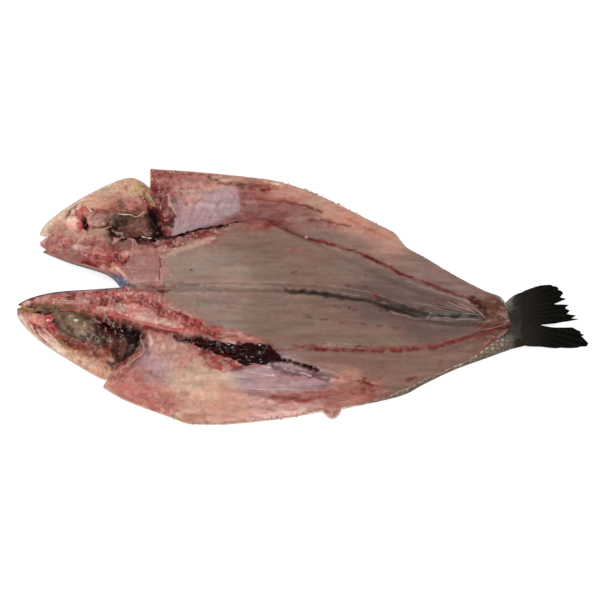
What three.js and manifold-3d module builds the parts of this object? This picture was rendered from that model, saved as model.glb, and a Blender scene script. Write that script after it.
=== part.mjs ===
import * as THREE from 'three';
import { mergeVertices } from 'three/addons/utils/BufferGeometryUtils.js';
import Module from 'manifold-3d';

// A whole meagre opened flat, cut side up, in millimetres.
// The head is at -X, the tail fin at +X, and the far half at +Y. The skin of
// the back lies along the middle and joins the halves, and the head is split.

// Thickness of the rim and shape of the skin side
const RIM_SHARE = 0.62;
const SHOULDER_WIDTH = 7;
const SKIN_LIFT = 0.34;
const BILGE_PER_HEIGHT = 0.85;
const STEP_WIDTH = 9;
const SPOT_REACH = 19;
const FAINT_WEIGHT = 1e-6;

// The tail fin, a thin plate that starts at the end of the flesh
const FIN_START = 174;
const FIN_ROOT_LENGTH = 22;
const FIN_END = 239;
const FIN_ROOT_THICKNESS = 3.2;
const FIN_TIP_THICKNESS = 1.2;

// The grids that carry the relief. Their rows follow the guides below.
const HEAD_STEP = 4.6;
const BODY_STEP = 10;
const HEAD_END = -96;
const ROWS_PER_BAND = [12, 13, 12, 14];
const SKIN_STEP = 14;
const SKIN_ROWS_PER_BAND = [5, 5, 5, 5];
const OUTLINE_DIVISIONS = 3;
const PATH_DIVISIONS = 4;
const REACH = 244;
const CUT_DEPTH = -10;
const CUT_HEIGHT = 50;

// Lines that run from the head to the tail: just outside the far edge, along
// the far blood line, the seam, the near backbone, and just outside the near edge
const GUIDES = [
  [
    [-244, 80], [-215, 80], [-190, 96], [-149, 108], [-129, 118], [-60, 113], [0, 99], [41, 80],
    [82, 58], [130, 24], [165, 8], [185, 12], [244, 15],
  ],
  [
    [-244, 62], [-165, 50], [-115, 46], [-77, 56], [-52, 61], [-27, 59], [23, 36], [57, 19],
    [81, 8], [123, -6], [170, -18], [244, -18],
  ],
  [[-244, 24], [-151, 3], [-14, 0], [23, -2], [56, -7], [81, -15], [106, -23], [145, -26], [244, -27]],
  [
    [-244, -14], [-206, -17], [-179, -20], [-158, -26], [-125, -33], [-84, -42], [-51, -51],
    [-18, -56], [15, -53], [80, -53], [105, -52], [138, -41], [170, -33], [244, -33],
  ],
  [
    [-244, -32], [-236, -34], [-219, -49], [-192, -66], [-165, -92], [-140, -104], [-107, -115],
    [-63, -118], [-10, -113], [25, -113], [64, -98], [101, -84], [126, -72], [174, -54], [244, -52],
  ],
];

// The outline, anticlockwise from the far lower jaw, seen from above. A run
// marked smooth is a curve through its points, and the others are straight.
const OUTLINE = [
  { smooth: true, points: [[-213, 50], [-218, 49.8], [-222.4, 51]] },
  { smooth: true, points: [
    [-222.4, 51], [-217, 61], [-197, 77.2], [-172, 92.3], [-149, 102], [-136, 98], [-130, 92.4],
  ] },
  { smooth: false, points: [[-130, 92.4], [-130.5, 110.9]] },
  { smooth: true, points: [
    [-130.5, 110.9], [-87, 108], [-34, 102], [-10, 96.2], [15, 86.5], [41, 73.4], [66, 59.9],
  ] },
  { smooth: true, points: [
    [66, 59.9], [78, 53.6], [83, 47], [89, 39.8], [104, 31.4], [129, 15.6], [153, 2.6],
    [165, -2.2], [170, -8.2],
  ] },
  { smooth: true, points: [[170, -8.2], [176, -2.7], [185, 1.8], [193, 5.2], [201, 7.8], [211, 8.8]] },
  { smooth: false, points: [
    [211, 8.8], [217, 5.5], [220, 1], [218, -2.4], [222, -3.6], [212, -8], [224, -8.8],
    [221, -11], [225, -13.3], [222, -16.6], [231, -17.6], [225.5, -20.4], [232, -21],
  ] },
  { smooth: true, points: [[232, -21], [216, -24.5], [201, -26.4], [200.4, -27.4], [212, -28.8], [226, -28.2]] },
  { smooth: false, points: [
    [226, -28.2], [234.5, -31.7], [232.7, -33.4], [236, -34.4], [233.5, -35.8], [238, -38.5],
    [239, -41.3], [238, -44.5], [233, -45.5],
  ] },
  { smooth: true, points: [[233, -45.5], [212, -46.4], [199, -45.4], [184, -45], [174, -47.5]] },
  { smooth: true, points: [
    [174, -47.5], [151, -56], [126, -65.3], [101, -77.2], [85, -85.8], [64, -91.4], [33, -98],
  ] },
  { smooth: true, points: [[33, -98], [29, -104.6], [23, -105.8], [16, -100.2]] },
  { smooth: true, points: [
    [16, -100.2], [-10, -104.8], [-35, -108], [-63, -110.5], [-92, -110.2], [-107, -105.2],
    [-142, -92.5], [-158, -84.3], [-165, -79.7],
  ] },
  { smooth: true, points: [[-165, -79.7], [-163, -76], [-160, -72.7]] },
  { smooth: true, points: [
    [-160, -72.7], [-167, -72.5], [-192, -58.2], [-219, -40.5], [-236, -23.4], [-239, -13.2],
  ] },
  { smooth: false, points: [[-239, -13.2], [-234, -11.6], [-238, -9.5]] },
  { smooth: true, points: [
    [-238, -9.5], [-227, -4.2], [-206, 0.1], [-173, 1.6], [-151.5, 3],
  ] },
  { smooth: true, points: [
    [-151.5, 3], [-159, 11.5], [-169, 17], [-195, 25.5], [-219, 35.6],
  ] },
  { smooth: true, points: [[-219, 35.6], [-216, 37.6], [-220.3, 40.7], [-221.3, 44.3], [-213, 50]] },
];

// Height of the cut face at spots of the fish: x, y, height
const BODY_HEIGHTS = [
  [-212, 44, 14], [-195, 56, 17], [-192, 38, 20], [-175, 28, 24], [-155, 16, 24],
  [-171, 80, 13], [-149, 89, 12], [-153, 56, 17], [-129, 22, 27], [-123, 47, 19],
  [-102, 37, 24], [-93, 19, 27], [-60, 49, 23], [-52, 30, 28], [-27, 46, 24],
  [-2, 37, 23], [-2, 18, 26], [36, 24, 19], [48, 8, 21], [69, 9, 17], [106, -5, 14], [140, -16, 12],
  [-110, 0, 22], [-72, 0, 21], [-27, -1, 21], [23, -1, 18], [81, -12, 13], [123, -21, 11], [160, -24, 11],
  [-234, -13, 10], [-213, -40, 13], [-188, -56, 12], [-167, -68, 10], [-209, -8, 17],
  [-179, -10, 23], [-150, -15, 27], [-185, -33, 19], [-150, -47, 17],
  [-117, -15, 27], [-100, -30, 29], [-59, -28, 29], [-59, -49, 27], [-2, -29, 27], [-2, -52, 23],
  [47, -37, 23], [47, -53, 20], [97, -36, 18], [105, -52, 16], [31, -71, 14], [80, -71, 13],
  [114, -62, 12], [139, -32, 14], [147, -45, 11],
  [171, -24, 11], [171, -41, 10], [186, -23, 8], [195, -5, 5], [208, -10, 4], [211, -37, 4],
  [228, -39, 2.6], [226, -20, 2.6],
];
const FAR_FLAP_HEIGHTS = [
  [-127, 107, 7], [-122, 81, 10], [-111, 55, 14], [-82, 77, 8], [-87, 100, 6], [-44, 77, 8],
  [-57, 100, 6], [-2, 69, 10], [-2, 88, 8], [40, 42, 14], [40, 61, 10], [82, 20, 14],
  [82, 36, 11], [115, 6, 12], [148, -9, 11],
];
const NEAR_FLAP_HEIGHTS = [
  [-154, -78, 8], [-142, -60, 14], [-132, -50, 14], [-117, -68, 9], [-125, -86, 6],
  [-101, -51, 12], [-68, -68, 10], [-84, -98, 6], [-55, -60, 12], [-18, -76, 10],
  [-18, -99, 6], [23, -89, 9], [39, -83, 11],
];

// The belly flaps, each lower than the flesh beside it
const FAR_FLAP = [
  [-134, 130], [-126, 92], [-120, 66], [-115, 46], [-104, 48], [-77, 56], [-52, 61], [-27, 60],
  [2, 45], [36, 31], [69, 14], [115, -1], [165, -16], [180, 20], [60, 110],
];
const NEAR_FLAP = [
  [-175, -84], [-157, -66], [-142, -61], [-134, -50], [-129, -37], [-92, -43], [-59, -51],
  [-18, -61], [27, -74], [52, -83], [60, -125], [-120, -130],
];

// Ridges and grooves that follow a line: rise above the face, and half width
const LINES = [
  { name: 'seam of the back', rise: -5, reach: 5, points: [
    [-151, 3], [-126, 1], [-72, 1], [-14, 0], [23, -2], [56, -7], [81, -15], [106, -23],
    [145, -26], [169, -26],
  ] },
  { name: 'far blood line', rise: -2, reach: 4.5, points: [
    [-34, 59], [-10, 50], [23, 36], [57, 19], [81, 8], [123, -6], [164, -19],
  ] },
  { name: 'near blood line', rise: -2, reach: 4.5, points: [
    [-18, -51], [15, -49], [80, -53], [105, -52], [138, -41], [167, -28],
  ] },
  { name: 'backbone', rise: 4, reach: 8, points: [
    [-179, -14], [-158, -21], [-125, -29], [-84, -40], [-51, -50], [-20, -56],
  ] },
  { name: 'blood left under the backbone', rise: 5, reach: 8, points: [
    [-93, -46], [-75, -50], [-55, -57], [-38, -61], [-18, -65],
  ] },
  { name: 'near collar bone', rise: 4, reach: 6, points: [[-152, -70], [-142, -60], [-133, -50], [-132, -40]] },
  { name: 'far collar bone', rise: 3, reach: 5, points: [[-112, 84], [-108, 69], [-106, 59]] },
  { name: 'near mouth', rise: -6, reach: 5, points: [[-236, -12], [-219, -15], [-206, -17]] },
  { name: 'near lower jaw', rise: 3, reach: 6, points: [[-235, -24], [-216, -41], [-195, -56], [-171, -70]] },
];

// Hollows with a steep wall, bounded by a closed curve
const HOLLOWS = [
  { name: 'far gill chamber', rise: -10, wall: 6, points: [
    [-137, 77], [-126, 71], [-117, 56], [-116, 45], [-129, 42], [-151, 43], [-163, 48],
    [-160, 60], [-147, 65],
  ] },
  { name: 'near gill chamber', rise: -10, wall: 6, points: [
    [-169, -26], [-151, -30], [-134, -36], [-133, -48], [-144, -57], [-153, -62],
    [-159, -51], [-157, -41],
  ] },
];

// Oval mounds and hollows: centre, half axes, turn in degrees, rise
const OVALS = [
  { name: 'half of the brain case', at: [-151, 39], half: [11, 7], turn: 0, rise: -8 },
  { name: 'hollow in the far skull', at: [-176, 41], half: [11, 5], turn: 0, rise: -4 },
  { name: 'swelling in the far skull', at: [-149, 27], half: [9, 6], turn: 20, rise: 3 },
  { name: 'lump of the far gills', at: [-172, 60], half: [11, 8], turn: 0, rise: 4 },
  { name: 'lining of the near mouth', at: [-185, -31], half: [29, 12], turn: -36, rise: 6 },
  { name: 'tongue', at: [-216, -26], half: [11, 9], turn: -30, rise: 3 },
];

const ease = (t) => THREE.MathUtils.smoothstep(t, 0, 1);

function curvePoints(points, closed) {
  const corners = points.map(([x, y]) => new THREE.Vector3(x, y, 0));
  const curve = new THREE.CatmullRomCurve3(corners, closed, 'catmullrom', 0.5);
  return curve.getPoints(points.length * PATH_DIVISIONS);
}

function nearestOnPath(path, x, y) {
  let best = Infinity;
  let along = 0;
  for (let i = 0; i < path.length - 1; i += 1) {
    const a = path[i];
    const b = path[i + 1];
    const dx = b.x - a.x;
    const dy = b.y - a.y;
    const raw = ((x - a.x) * dx + (y - a.y) * dy) / (dx * dx + dy * dy);
    const t = THREE.MathUtils.clamp(raw, 0, 1);
    const gap = Math.hypot(a.x + t * dx - x, a.y + t * dy - y);
    if (gap < best) {
      best = gap;
      along = (i + t) / (path.length - 1);
    }
  }
  return { gap: best, along };
}

function isInside(loop, x, y) {
  let inside = false;
  for (let i = 0; i < loop.length - 1; i += 1) {
    const a = loop[i];
    const b = loop[i + 1];
    const crosses = (a.y > y) !== (b.y > y);
    if (crosses && x < a.x + ((y - a.y) * (b.x - a.x)) / (b.y - a.y)) inside = !inside;
  }
  return inside;
}

function depthInside(loop, x, y) {
  const { gap } = nearestOnPath(loop, x, y);
  return isInside(loop, x, y) ? gap : -gap;
}

function outlineShape() {
  const shape = new THREE.Shape();
  shape.moveTo(...OUTLINE[0].points[0]);
  for (const run of OUTLINE) {
    const rest = run.points.slice(1).map(([x, y]) => new THREE.Vector2(x, y));
    if (run.smooth) shape.splineThru(rest);
    else for (const point of rest) shape.lineTo(point.x, point.y);
  }
  return shape;
}

// Height between the spots: the plane that best fits the spots near a place
function spread(spots, x, y) {
  const [all, sumX, sumY, sumXX, sumXY, sumYY, height, heightX, heightY] = spots.reduce((sums, spot) => {
    const dx = spot[0] - x;
    const dy = spot[1] - y;
    const weight = Math.exp(-(dx * dx + dy * dy) / (2 * SPOT_REACH ** 2)) + FAINT_WEIGHT;
    const terms = [1, dx, dy, dx * dx, dx * dy, dy * dy, spot[2], spot[2] * dx, spot[2] * dy];
    return sums.map((sum, i) => sum + weight * terms[i]);
  }, Array(9).fill(0));
  const fit = new THREE.Matrix3().set(all, sumX, sumY, sumX, sumXX, sumXY, sumY, sumXY, sumYY).invert();
  return new THREE.Vector3(height, heightX, heightY).applyMatrix3(fit).x;
}

const edge = outlineShape().getPoints(OUTLINE_DIVISIONS);
edge.push(edge[0].clone());
const farFlap = curvePoints(FAR_FLAP, true);
const nearFlap = curvePoints(NEAR_FLAP, true);
const lines = LINES.map((line) => ({ ...line, path: curvePoints(line.points, false) }));
const hollows = HOLLOWS.map((hollow) => ({ ...hollow, path: curvePoints(hollow.points, true) }));

function plainHeight(x, y) {
  let height = spread(BODY_HEIGHTS, x, y);
  for (const [flap, spots] of [[farFlap, FAR_FLAP_HEIGHTS], [nearFlap, NEAR_FLAP_HEIGHTS]]) {
    const share = ease(depthInside(flap, x, y) / STEP_WIDTH + 0.5);
    if (share > 0) height = THREE.MathUtils.lerp(height, spread(spots, x, y), share);
  }
  return height;
}

function relief(x, y) {
  let rise = 0;
  for (const line of lines) {
    const { gap, along } = nearestOnPath(line.path, x, y);
    const across = Math.max(0, 1 - (gap / line.reach) ** 2);
    rise += line.rise * across ** 1.5 * ease(Math.min(along, 1 - along) * 8);
  }
  for (const hollow of hollows) {
    rise += hollow.rise * ease(depthInside(hollow.path, x, y) / hollow.wall);
  }
  for (const oval of OVALS) {
    const turn = THREE.MathUtils.degToRad(oval.turn);
    const offset = new THREE.Vector2(x - oval.at[0], y - oval.at[1]).rotateAround(new THREE.Vector2(), -turn);
    const ring = (offset.x / oval.half[0]) ** 2 + (offset.y / oval.half[1]) ** 2;
    rise += oval.rise * Math.max(0, 1 - ring) ** 0.8;
  }
  return rise;
}

const finShare = (x) => ease((x - FIN_START) / FIN_ROOT_LENGTH);

function topHeight(x, y) {
  const depth = Math.max(0, depthInside(edge, x, y));
  const rounding = Math.sin((Math.PI / 2) * Math.min(1, depth / SHOULDER_WIDTH));
  const rim = THREE.MathUtils.lerp(RIM_SHARE, 1, Math.max(rounding, finShare(x)));
  return plainHeight(x, y) * rim + relief(x, y) * rounding;
}

function skinHeight(x, y) {
  const depth = Math.max(0, depthInside(edge, x, y));
  const height = plainHeight(x, y);
  const bilge = 1 - Math.min(1, depth / (height * BILGE_PER_HEIGHT));
  const taper = THREE.MathUtils.clamp((x - FIN_START) / (FIN_END - FIN_START), 0, 1);
  const fin = Math.max(0, height - THREE.MathUtils.lerp(FIN_ROOT_THICKNESS, FIN_TIP_THICKNESS, taper));
  return THREE.MathUtils.lerp(height * SKIN_LIFT * bilge ** 2, fin, finShare(x));
}

function steps(from, to, step) {
  const count = Math.ceil((to - from) / step);
  return Array.from({ length: count + 1 }, (_, i) => from + ((to - from) * i) / count);
}

function asSolid(geometry) {
  geometry.deleteAttribute('normal');
  geometry.deleteAttribute('uv');
  const merged = mergeVertices(geometry);
  return new wasm.Manifold(new wasm.Mesh({
    numProp: 3,
    vertProperties: merged.getAttribute('position').array,
    triVerts: Uint32Array.from(merged.index.array),
  }));
}

function alongGuide(guide, x) {
  const next = guide.findIndex(([guideX]) => guideX >= x);
  if (next < 1) return guide.at(next)[1];
  const [fromX, fromY] = guide[next - 1];
  const [toX, toY] = guide[next];
  return THREE.MathUtils.mapLinear(x, fromX, toX, fromY, toY);
}

// Rows from the near guide to the far one, each with its guide and its share
// of the way to the guide beyond it
function rowsBetweenGuides(rowsPerBand) {
  const rows = rowsPerBand.flatMap((count, band) => (
    Array.from({ length: count }, (_, i) => ({ band, share: i / count }))
  ));
  return [...rows, { band: rowsPerBand.length - 1, share: 1 }].reverse();
}

// A block from CUT_DEPTH up to a height given over a grid: a box whose top
// and bottom faces carry the grid's lines
function blockUnder(xs, rows, heightAt) {
  const block = new THREE.BoxGeometry(1, 1, 1, xs.length - 1, rows.length - 1, 1);
  const position = block.getAttribute('position');
  for (let i = 0; i < position.count; i += 1) {
    const x = xs[Math.round((position.getX(i) + 0.5) * (xs.length - 1))];
    const { band, share } = rows[Math.round((position.getY(i) + 0.5) * (rows.length - 1))];
    const y = THREE.MathUtils.lerp(alongGuide(GUIDES[band], x), alongGuide(GUIDES[band + 1], x), share);
    const isTop = position.getZ(i) > 0;
    position.setXYZ(i, x, y, isTop ? heightAt(x, y) : CUT_DEPTH);
  }
  return asSolid(block);
}

function asGeometry(solid) {
  const { vertProperties, triVerts } = solid.getMesh();
  const geometry = new THREE.BufferGeometry();
  geometry.setAttribute('position', new THREE.BufferAttribute(vertProperties, 3));
  geometry.setIndex(new THREE.BufferAttribute(triVerts, 1));
  return geometry;
}

const wasm = await Module();
wasm.setup();

function openedFish() {
  const slab = new THREE.ExtrudeGeometry(outlineShape(), {
    depth: CUT_HEIGHT - CUT_DEPTH,
    curveSegments: OUTLINE_DIVISIONS,
    bevelEnabled: false,
  });
  slab.translate(0, 0, CUT_DEPTH);
  const faceSteps = [...steps(-REACH, HEAD_END, HEAD_STEP), ...steps(HEAD_END, REACH, BODY_STEP).slice(1)];
  const topBlock = blockUnder(faceSteps, rowsBetweenGuides(ROWS_PER_BAND), topHeight);
  const skinSteps = steps(-REACH, REACH, SKIN_STEP);
  const skinBlock = blockUnder(skinSteps, rowsBetweenGuides(SKIN_ROWS_PER_BAND), skinHeight);
  const geometry = asGeometry(asSolid(slab).intersect(topBlock).subtract(skinBlock));
  geometry.computeBoundingBox();
  const middle = geometry.boundingBox.getCenter(new THREE.Vector3());
  geometry.translate(-middle.x, -middle.y, -geometry.boundingBox.min.z);
  geometry.computeVertexNormals();
  return geometry;
}

const flesh = new THREE.MeshStandardMaterial({ color: '#a58d80', roughness: 0.35, metalness: 0 });
const fish = new THREE.Mesh(openedFish(), flesh);
fish.name = 'opened_fish';

const group = new THREE.Group();
group.add(fish);

export default group;
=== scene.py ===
import math

import bpy
import numpy as np
from bpy.props import FloatProperty, FloatVectorProperty, PointerProperty
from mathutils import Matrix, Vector
from mathutils.geometry import delaunay_2d_cdt
from mathutils.kdtree import KDTree


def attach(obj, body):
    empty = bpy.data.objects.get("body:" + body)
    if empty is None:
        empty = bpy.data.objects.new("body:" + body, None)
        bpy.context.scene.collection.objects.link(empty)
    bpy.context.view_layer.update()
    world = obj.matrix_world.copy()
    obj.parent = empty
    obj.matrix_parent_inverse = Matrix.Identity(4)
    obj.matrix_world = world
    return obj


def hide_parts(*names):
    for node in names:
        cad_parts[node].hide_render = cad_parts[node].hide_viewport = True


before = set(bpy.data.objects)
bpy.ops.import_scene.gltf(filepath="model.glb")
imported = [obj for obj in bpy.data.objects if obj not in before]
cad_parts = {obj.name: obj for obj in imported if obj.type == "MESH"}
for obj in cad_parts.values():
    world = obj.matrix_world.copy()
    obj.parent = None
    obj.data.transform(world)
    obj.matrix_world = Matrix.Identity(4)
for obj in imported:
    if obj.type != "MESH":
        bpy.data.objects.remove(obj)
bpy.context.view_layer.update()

bl_info = {
    "name": "Opened Meagre",
    "version": (1, 0, 0),
    "blender": (4, 5, 0),
    "location": "View3D > Sidebar > Fish",
    "description": "Builds a whole meagre opened flat, cut side up, with its flesh, skin and tail fin",
    "category": "Add Mesh",
}

MM = 0.001
NODE = "opened_fish"

# Guide shapes of the fish, in millimetres: the head is at -X, the tail fin at
# +X and the far half at +Y

# Places along the fish: beyond its two ends, behind the head on the cut side
# and on the skin side, and where scales start to show beside the cut
FRONT, REAR = -300, 300
NECK, GILL_COVERS = -97, -115
SCALES_START = 30

# Where the skin turns dark before the fin and where it dips under the fin, the
# ends of the fin, the length over which the body thins into it, where its rays
# and its frayed tips start, and the centre that its rays run from
STEM_START, SKIN_END = 166, 181
FIN_START, FIN_END, FIN_JOIN = 174, 239, 22
RAYS_START, TIPS_START = 192, 207
FAN_CENTRE = (158, -24)
RAYS, TEETH = 42, 22

# Where the forehead's dark edge ends and the silver-blue skin between the two
# halves of the head
FOREHEAD_END = -143
CORNER = (-150, 7)

# Radii of the skin round an eye, its raised rim, its iris and its pupil
EYE_SKIN, EYE_RIM, EYE_IRIS, EYE_PUPIL = 8, 7.3, 6.6, 3.2

# Mesh spacing along the edges of skin, flesh and fin, on the skin's turned-up
# edge, on the fin and on the hidden faces between flesh and skin
SKIN_STEP, FLESH_STEP, FIN_STEP = 1, 0.9, 0.6
EDGE_GRAIN, FIN_GRAIN, FLOOR_GRAIN = 1.1, 0.7, 9


def meeting(start, *runs):
    """Runs of points that each begin where the one before ends."""
    starts = [start] + [run[-1] for run in runs]
    return [[first] + run for first, run in zip(starts, runs)]


# The outline from the far lower jaw along the far edge to the tail and back
# along the near edge, as runs that meet in a corner
OUTLINE = meeting(
    (-213, 50), [(-218, 49.8), (-222.4, 51)],
    [(-217, 61), (-197, 77.2), (-172, 92.3), (-149, 102), (-136, 98), (-130, 92.4)],
    [(-130.5, 110.9)],
    [(-87, 108), (-34, 102), (-10, 96.2), (15, 86.5), (41, 73.4), (66, 59.9)],
    [(78, 53.6), (83, 47), (89, 39.8), (104, 31.4), (129, 15.6), (153, 2.6), (165, -2.2), (170, -8.2)],
)
TAIL_STEM_END = meeting(
    (170, -8.2), [(176, -2.7), (185, 1.4)],
    [(190, -3), (192, -10), (193, -18), (195, -27), (194, -36), (190, -42.5), (184, -45)],
    [(174, -47.5)],
)
NEAR_OUTLINE = meeting(
    (174, -47.5), [(151, -56), (126, -65.3), (101, -77.2), (85, -85.8), (64, -91.4), (33, -98)],
    [(29, -104.6), (23, -105.8), (16, -100.2)],
    [
        (-10, -104.8), (-35, -108), (-63, -110.5), (-92, -110.2), (-107, -105.2),
        (-142, -92.5), (-158, -84.3), (-165, -79.7),
    ],
    [(-163, -76), (-160, -72.7)],
    [(-167, -72.5), (-192, -58.2), (-219, -40.5), (-236, -23.4), (-239, -13.2)],
    [(-234, -11.6)],
    [(-238, -9.5)],
    [(-227, -4.2), (-206, 0.1), (-173, 1.6), (-151.5, 3)],
    [(-159, 11.5), (-169, 17), (-195, 25.5), (-219, 35.6)],
    [(-216, 37.6), (-220.3, 40.7), (-221.3, 44.3), (-213, 50)],
)
FIN_OUTLINE = meeting(
    (180, -8), [(184, 0.4), (193, 5.2), (201, 7.8), (211, 8.8)],
    [(217, 5.5)], [(220, 1)], [(218, -2.4)], [(222, -3.6)], [(212, -8)], [(224, -8.8)], [(221, -11)],
    [(225, -13.3)], [(222, -16.6)], [(231, -17.6)], [(225.5, -20.4)], [(232, -21)],
    [(216, -24.5), (201, -26.4), (200.4, -27.4), (212, -28.8), (226, -28.2)],
    [(234.5, -31.7)], [(232.7, -33.4)], [(236, -34.4)], [(233.5, -35.8)], [(238, -38.5)], [(239, -41.3)],
    [(238, -44.5)], [(233, -45.5)],
    [(212, -46.4), (199, -45.4), (185, -44.6), (180, -38)],
    [(180, -8)],
)

# How the body's outline runs on into the far and the near edge of the fin
FIN_FAR_EDGE = [(170, -8.2), (176, -2.7), (185, 1.8), (193, 5.2), (201, 7.8), (211, 8.8)]
FIN_NEAR_EDGE = [(233, -45.5), (212, -46.4), (199, -45.4), (184, -45), (174, -47.5)]

# Where the cut flesh ends short of the skin at the tail, from the far edge to the near one
FLESH_END = [
    (158, -0.8), (164, -4), (169, -10), (171.5, -18), (173.5, -25), (172.5, -30), (168, -36.5),
    (160, -42.5), (152, -48), (140, -56), (128, -62.2),
]

# Visible width of the skin outside the cut flesh at places along the edge
SKIN_EDGE_WIDTHS = [
    (-222, 51, 1), (-150, 101, 0.9), (-130, 110, 0.8), (-34, 102, 0.8), (66, 60, 0.8), (130, 15, 0.8),
    (157, 0, 1), (126, -65, 2.2), (112, -72, 2), (101, -77, 2.8), (85, -86, 3.4), (70, -90, 2.2),
    (50, -94, 0.9), (-35, -108, 0.6), (-107, -105, 0.6), (-165, -80, 0.6), (-192, -58, 0.7),
    (-236, -23, 0.8), (-227, -4.2, 0.8), (-206, 0.1, 0.9), (-173, 1.6, 0.9), (-156, 2.8, 1.6),
    (-152, 4, 3.4), (-157, 10, 3), (-169, 17, 1.2), (-195, 25.5, 1), (-215, 34, 1), (-220, 42, 0.7),
]

# Height of the cut face at places of the body and of each belly flap, and the
# outline within which a flap's own heights hold
BODY_HEIGHTS = [
    (-212, 44, 14), (-195, 56, 17), (-192, 38, 20), (-175, 28, 24), (-155, 16, 24),
    (-171, 80, 13), (-149, 89, 12), (-153, 56, 17), (-129, 22, 27), (-123, 47, 19),
    (-102, 37, 24), (-93, 19, 27), (-60, 49, 23), (-52, 30, 28), (-27, 46, 24),
    (-2, 37, 23), (-2, 18, 26), (36, 24, 19), (48, 8, 21), (69, 9, 17), (106, -5, 14), (140, -16, 12),
    (-110, 0, 22), (-72, 0, 21), (-27, -1, 21), (23, -1, 18), (81, -12, 13), (123, -21, 11), (160, -24, 11),
    (-234, -13, 10), (-213, -40, 13), (-188, -56, 12), (-167, -68, 10), (-209, -8, 17),
    (-179, -10, 23), (-150, -15, 27), (-185, -33, 19), (-150, -47, 17),
    (-117, -15, 27), (-100, -30, 29), (-59, -28, 29), (-59, -49, 27), (-2, -29, 27), (-2, -52, 23),
    (47, -37, 23), (47, -53, 20), (97, -36, 18), (105, -52, 16), (31, -71, 14), (80, -71, 13),
    (114, -62, 12), (139, -32, 14), (147, -45, 11),
    (171, -24, 11), (171, -41, 10), (186, -23, 8), (195, -5, 5), (208, -10, 4), (211, -37, 4),
    (228, -39, 2.6), (226, -20, 2.6),
]
FAR_FLAP_HEIGHTS = [
    (-127, 107, 7), (-122, 81, 10), (-111, 55, 14), (-82, 77, 8), (-87, 100, 6), (-44, 77, 8),
    (-57, 100, 6), (-2, 69, 10), (-2, 88, 8), (40, 42, 14), (40, 61, 10), (82, 20, 14),
    (82, 36, 11), (115, 6, 12), (148, -9, 11),
]
NEAR_FLAP_HEIGHTS = [
    (-154, -78, 8), (-142, -60, 14), (-132, -50, 14), (-117, -68, 9), (-125, -86, 6),
    (-101, -51, 12), (-68, -68, 10), (-84, -98, 6), (-55, -60, 12), (-18, -76, 10),
    (-18, -99, 6), (23, -89, 9), (39, -83, 11),
]
FAR_FLAP = [
    (-134, 130), (-126, 92), (-120, 66), (-115, 46), (-104, 48), (-77, 56), (-52, 61), (-27, 60),
    (2, 45), (36, 31), (69, 14), (115, -1), (165, -16), (180, 20), (60, 110),
]
NEAR_FLAP = [
    (-175, -84), (-157, -66), (-142, -61), (-134, -50), (-129, -37), (-92, -43), (-59, -51),
    (-18, -61), (27, -74), (52, -83), (60, -125), (-120, -130),
]

# Large ridges and grooves: rise, half width, course
RIDGES = [
    (-5, 5, [
        (-151, 3), (-126, 1), (-72, 1), (-14, 0), (23, -2), (56, -7), (81, -15), (106, -23), (145, -26),
        (169, -26),
    ]),
    (-2, 4.5, [(-34, 59), (-10, 50), (23, 36), (57, 19), (81, 8), (123, -6), (164, -19)]),
    (-2, 4.5, [(-18, -51), (15, -49), (80, -53), (105, -52), (138, -41), (167, -28)]),
    (4, 8, [(-179, -14), (-158, -21), (-125, -29), (-84, -40), (-51, -50), (-20, -56)]),
    (5, 8, [(-93, -46), (-75, -50), (-55, -57), (-38, -61), (-18, -65)]),
    (4, 6, [(-152, -70), (-142, -60), (-133, -50), (-132, -40)]),
    (3, 5, [(-112, 84), (-108, 69), (-106, 59)]),
    (-6, 5, [(-236, -12), (-219, -15), (-206, -17)]),
    (3, 6, [(-235, -24), (-216, -41), (-195, -56), (-171, -70)]),
]
HOLLOWS = [
    (-10, 6, [
        (-137, 77), (-126, 71), (-117, 56), (-116, 45), (-129, 42), (-151, 43), (-163, 48),
        (-160, 60), (-147, 65),
    ]),
    (-10, 6, [
        (-169, -26), (-151, -30), (-134, -36), (-133, -48), (-144, -57), (-153, -62),
        (-159, -51), (-157, -41),
    ]),
]
MOUNDS = [
    ((-151, 39), (11, 7), 0, -8), ((-176, 41), (11, 5), 0, -4), ((-149, 27), (9, 6), 20, 3),
    ((-172, 60), (11, 8), 0, 4), ((-185, -31), (29, 12), -36, 6), ((-216, -26), (11, 9), -30, 3),
]

# Lines on the skin side, which lies down: half width, course
SIDE_LINES = [
    (0.9, [(-143, 3), (-134, -8), (-132, -24), (-138, -42), (-152, -58), (-170, -67)]),
    (0.6, [(-166, -6), (-161, -20), (-167, -37), (-182, -50)]),
    (0.8, [(-238, -14), (-226, -23), (-215, -31), (-207, -38)]),
    (0.9, [(-134, 16), (-119, 36), (-117, 56), (-126, 76), (-146, 92)]),
    (0.6, [(-162, 24), (-149, 40), (-151, 58), (-166, 74)]),
    (0.8, [(-222, 47), (-212, 56), (-204, 64), (-198, 70)]),
    (0.5, [(-130, -20), (-60, -30), (20, -33), (90, -32), (165, -27)]),
    (0.5, [(-118, 32), (-60, 34), (20, 20), (90, 0), (165, -22)]),
]
EYES = [(-209, -13), (-195, 39)]

# Upper edge of the forehead skin from the tip of the near half over the corner where the halves part
FOREHEADS = [(-238, -9), (-206, 1), (-173, 2), (-151, 3), (-159, 11), (-195, 25), (-219, 35)]

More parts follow.
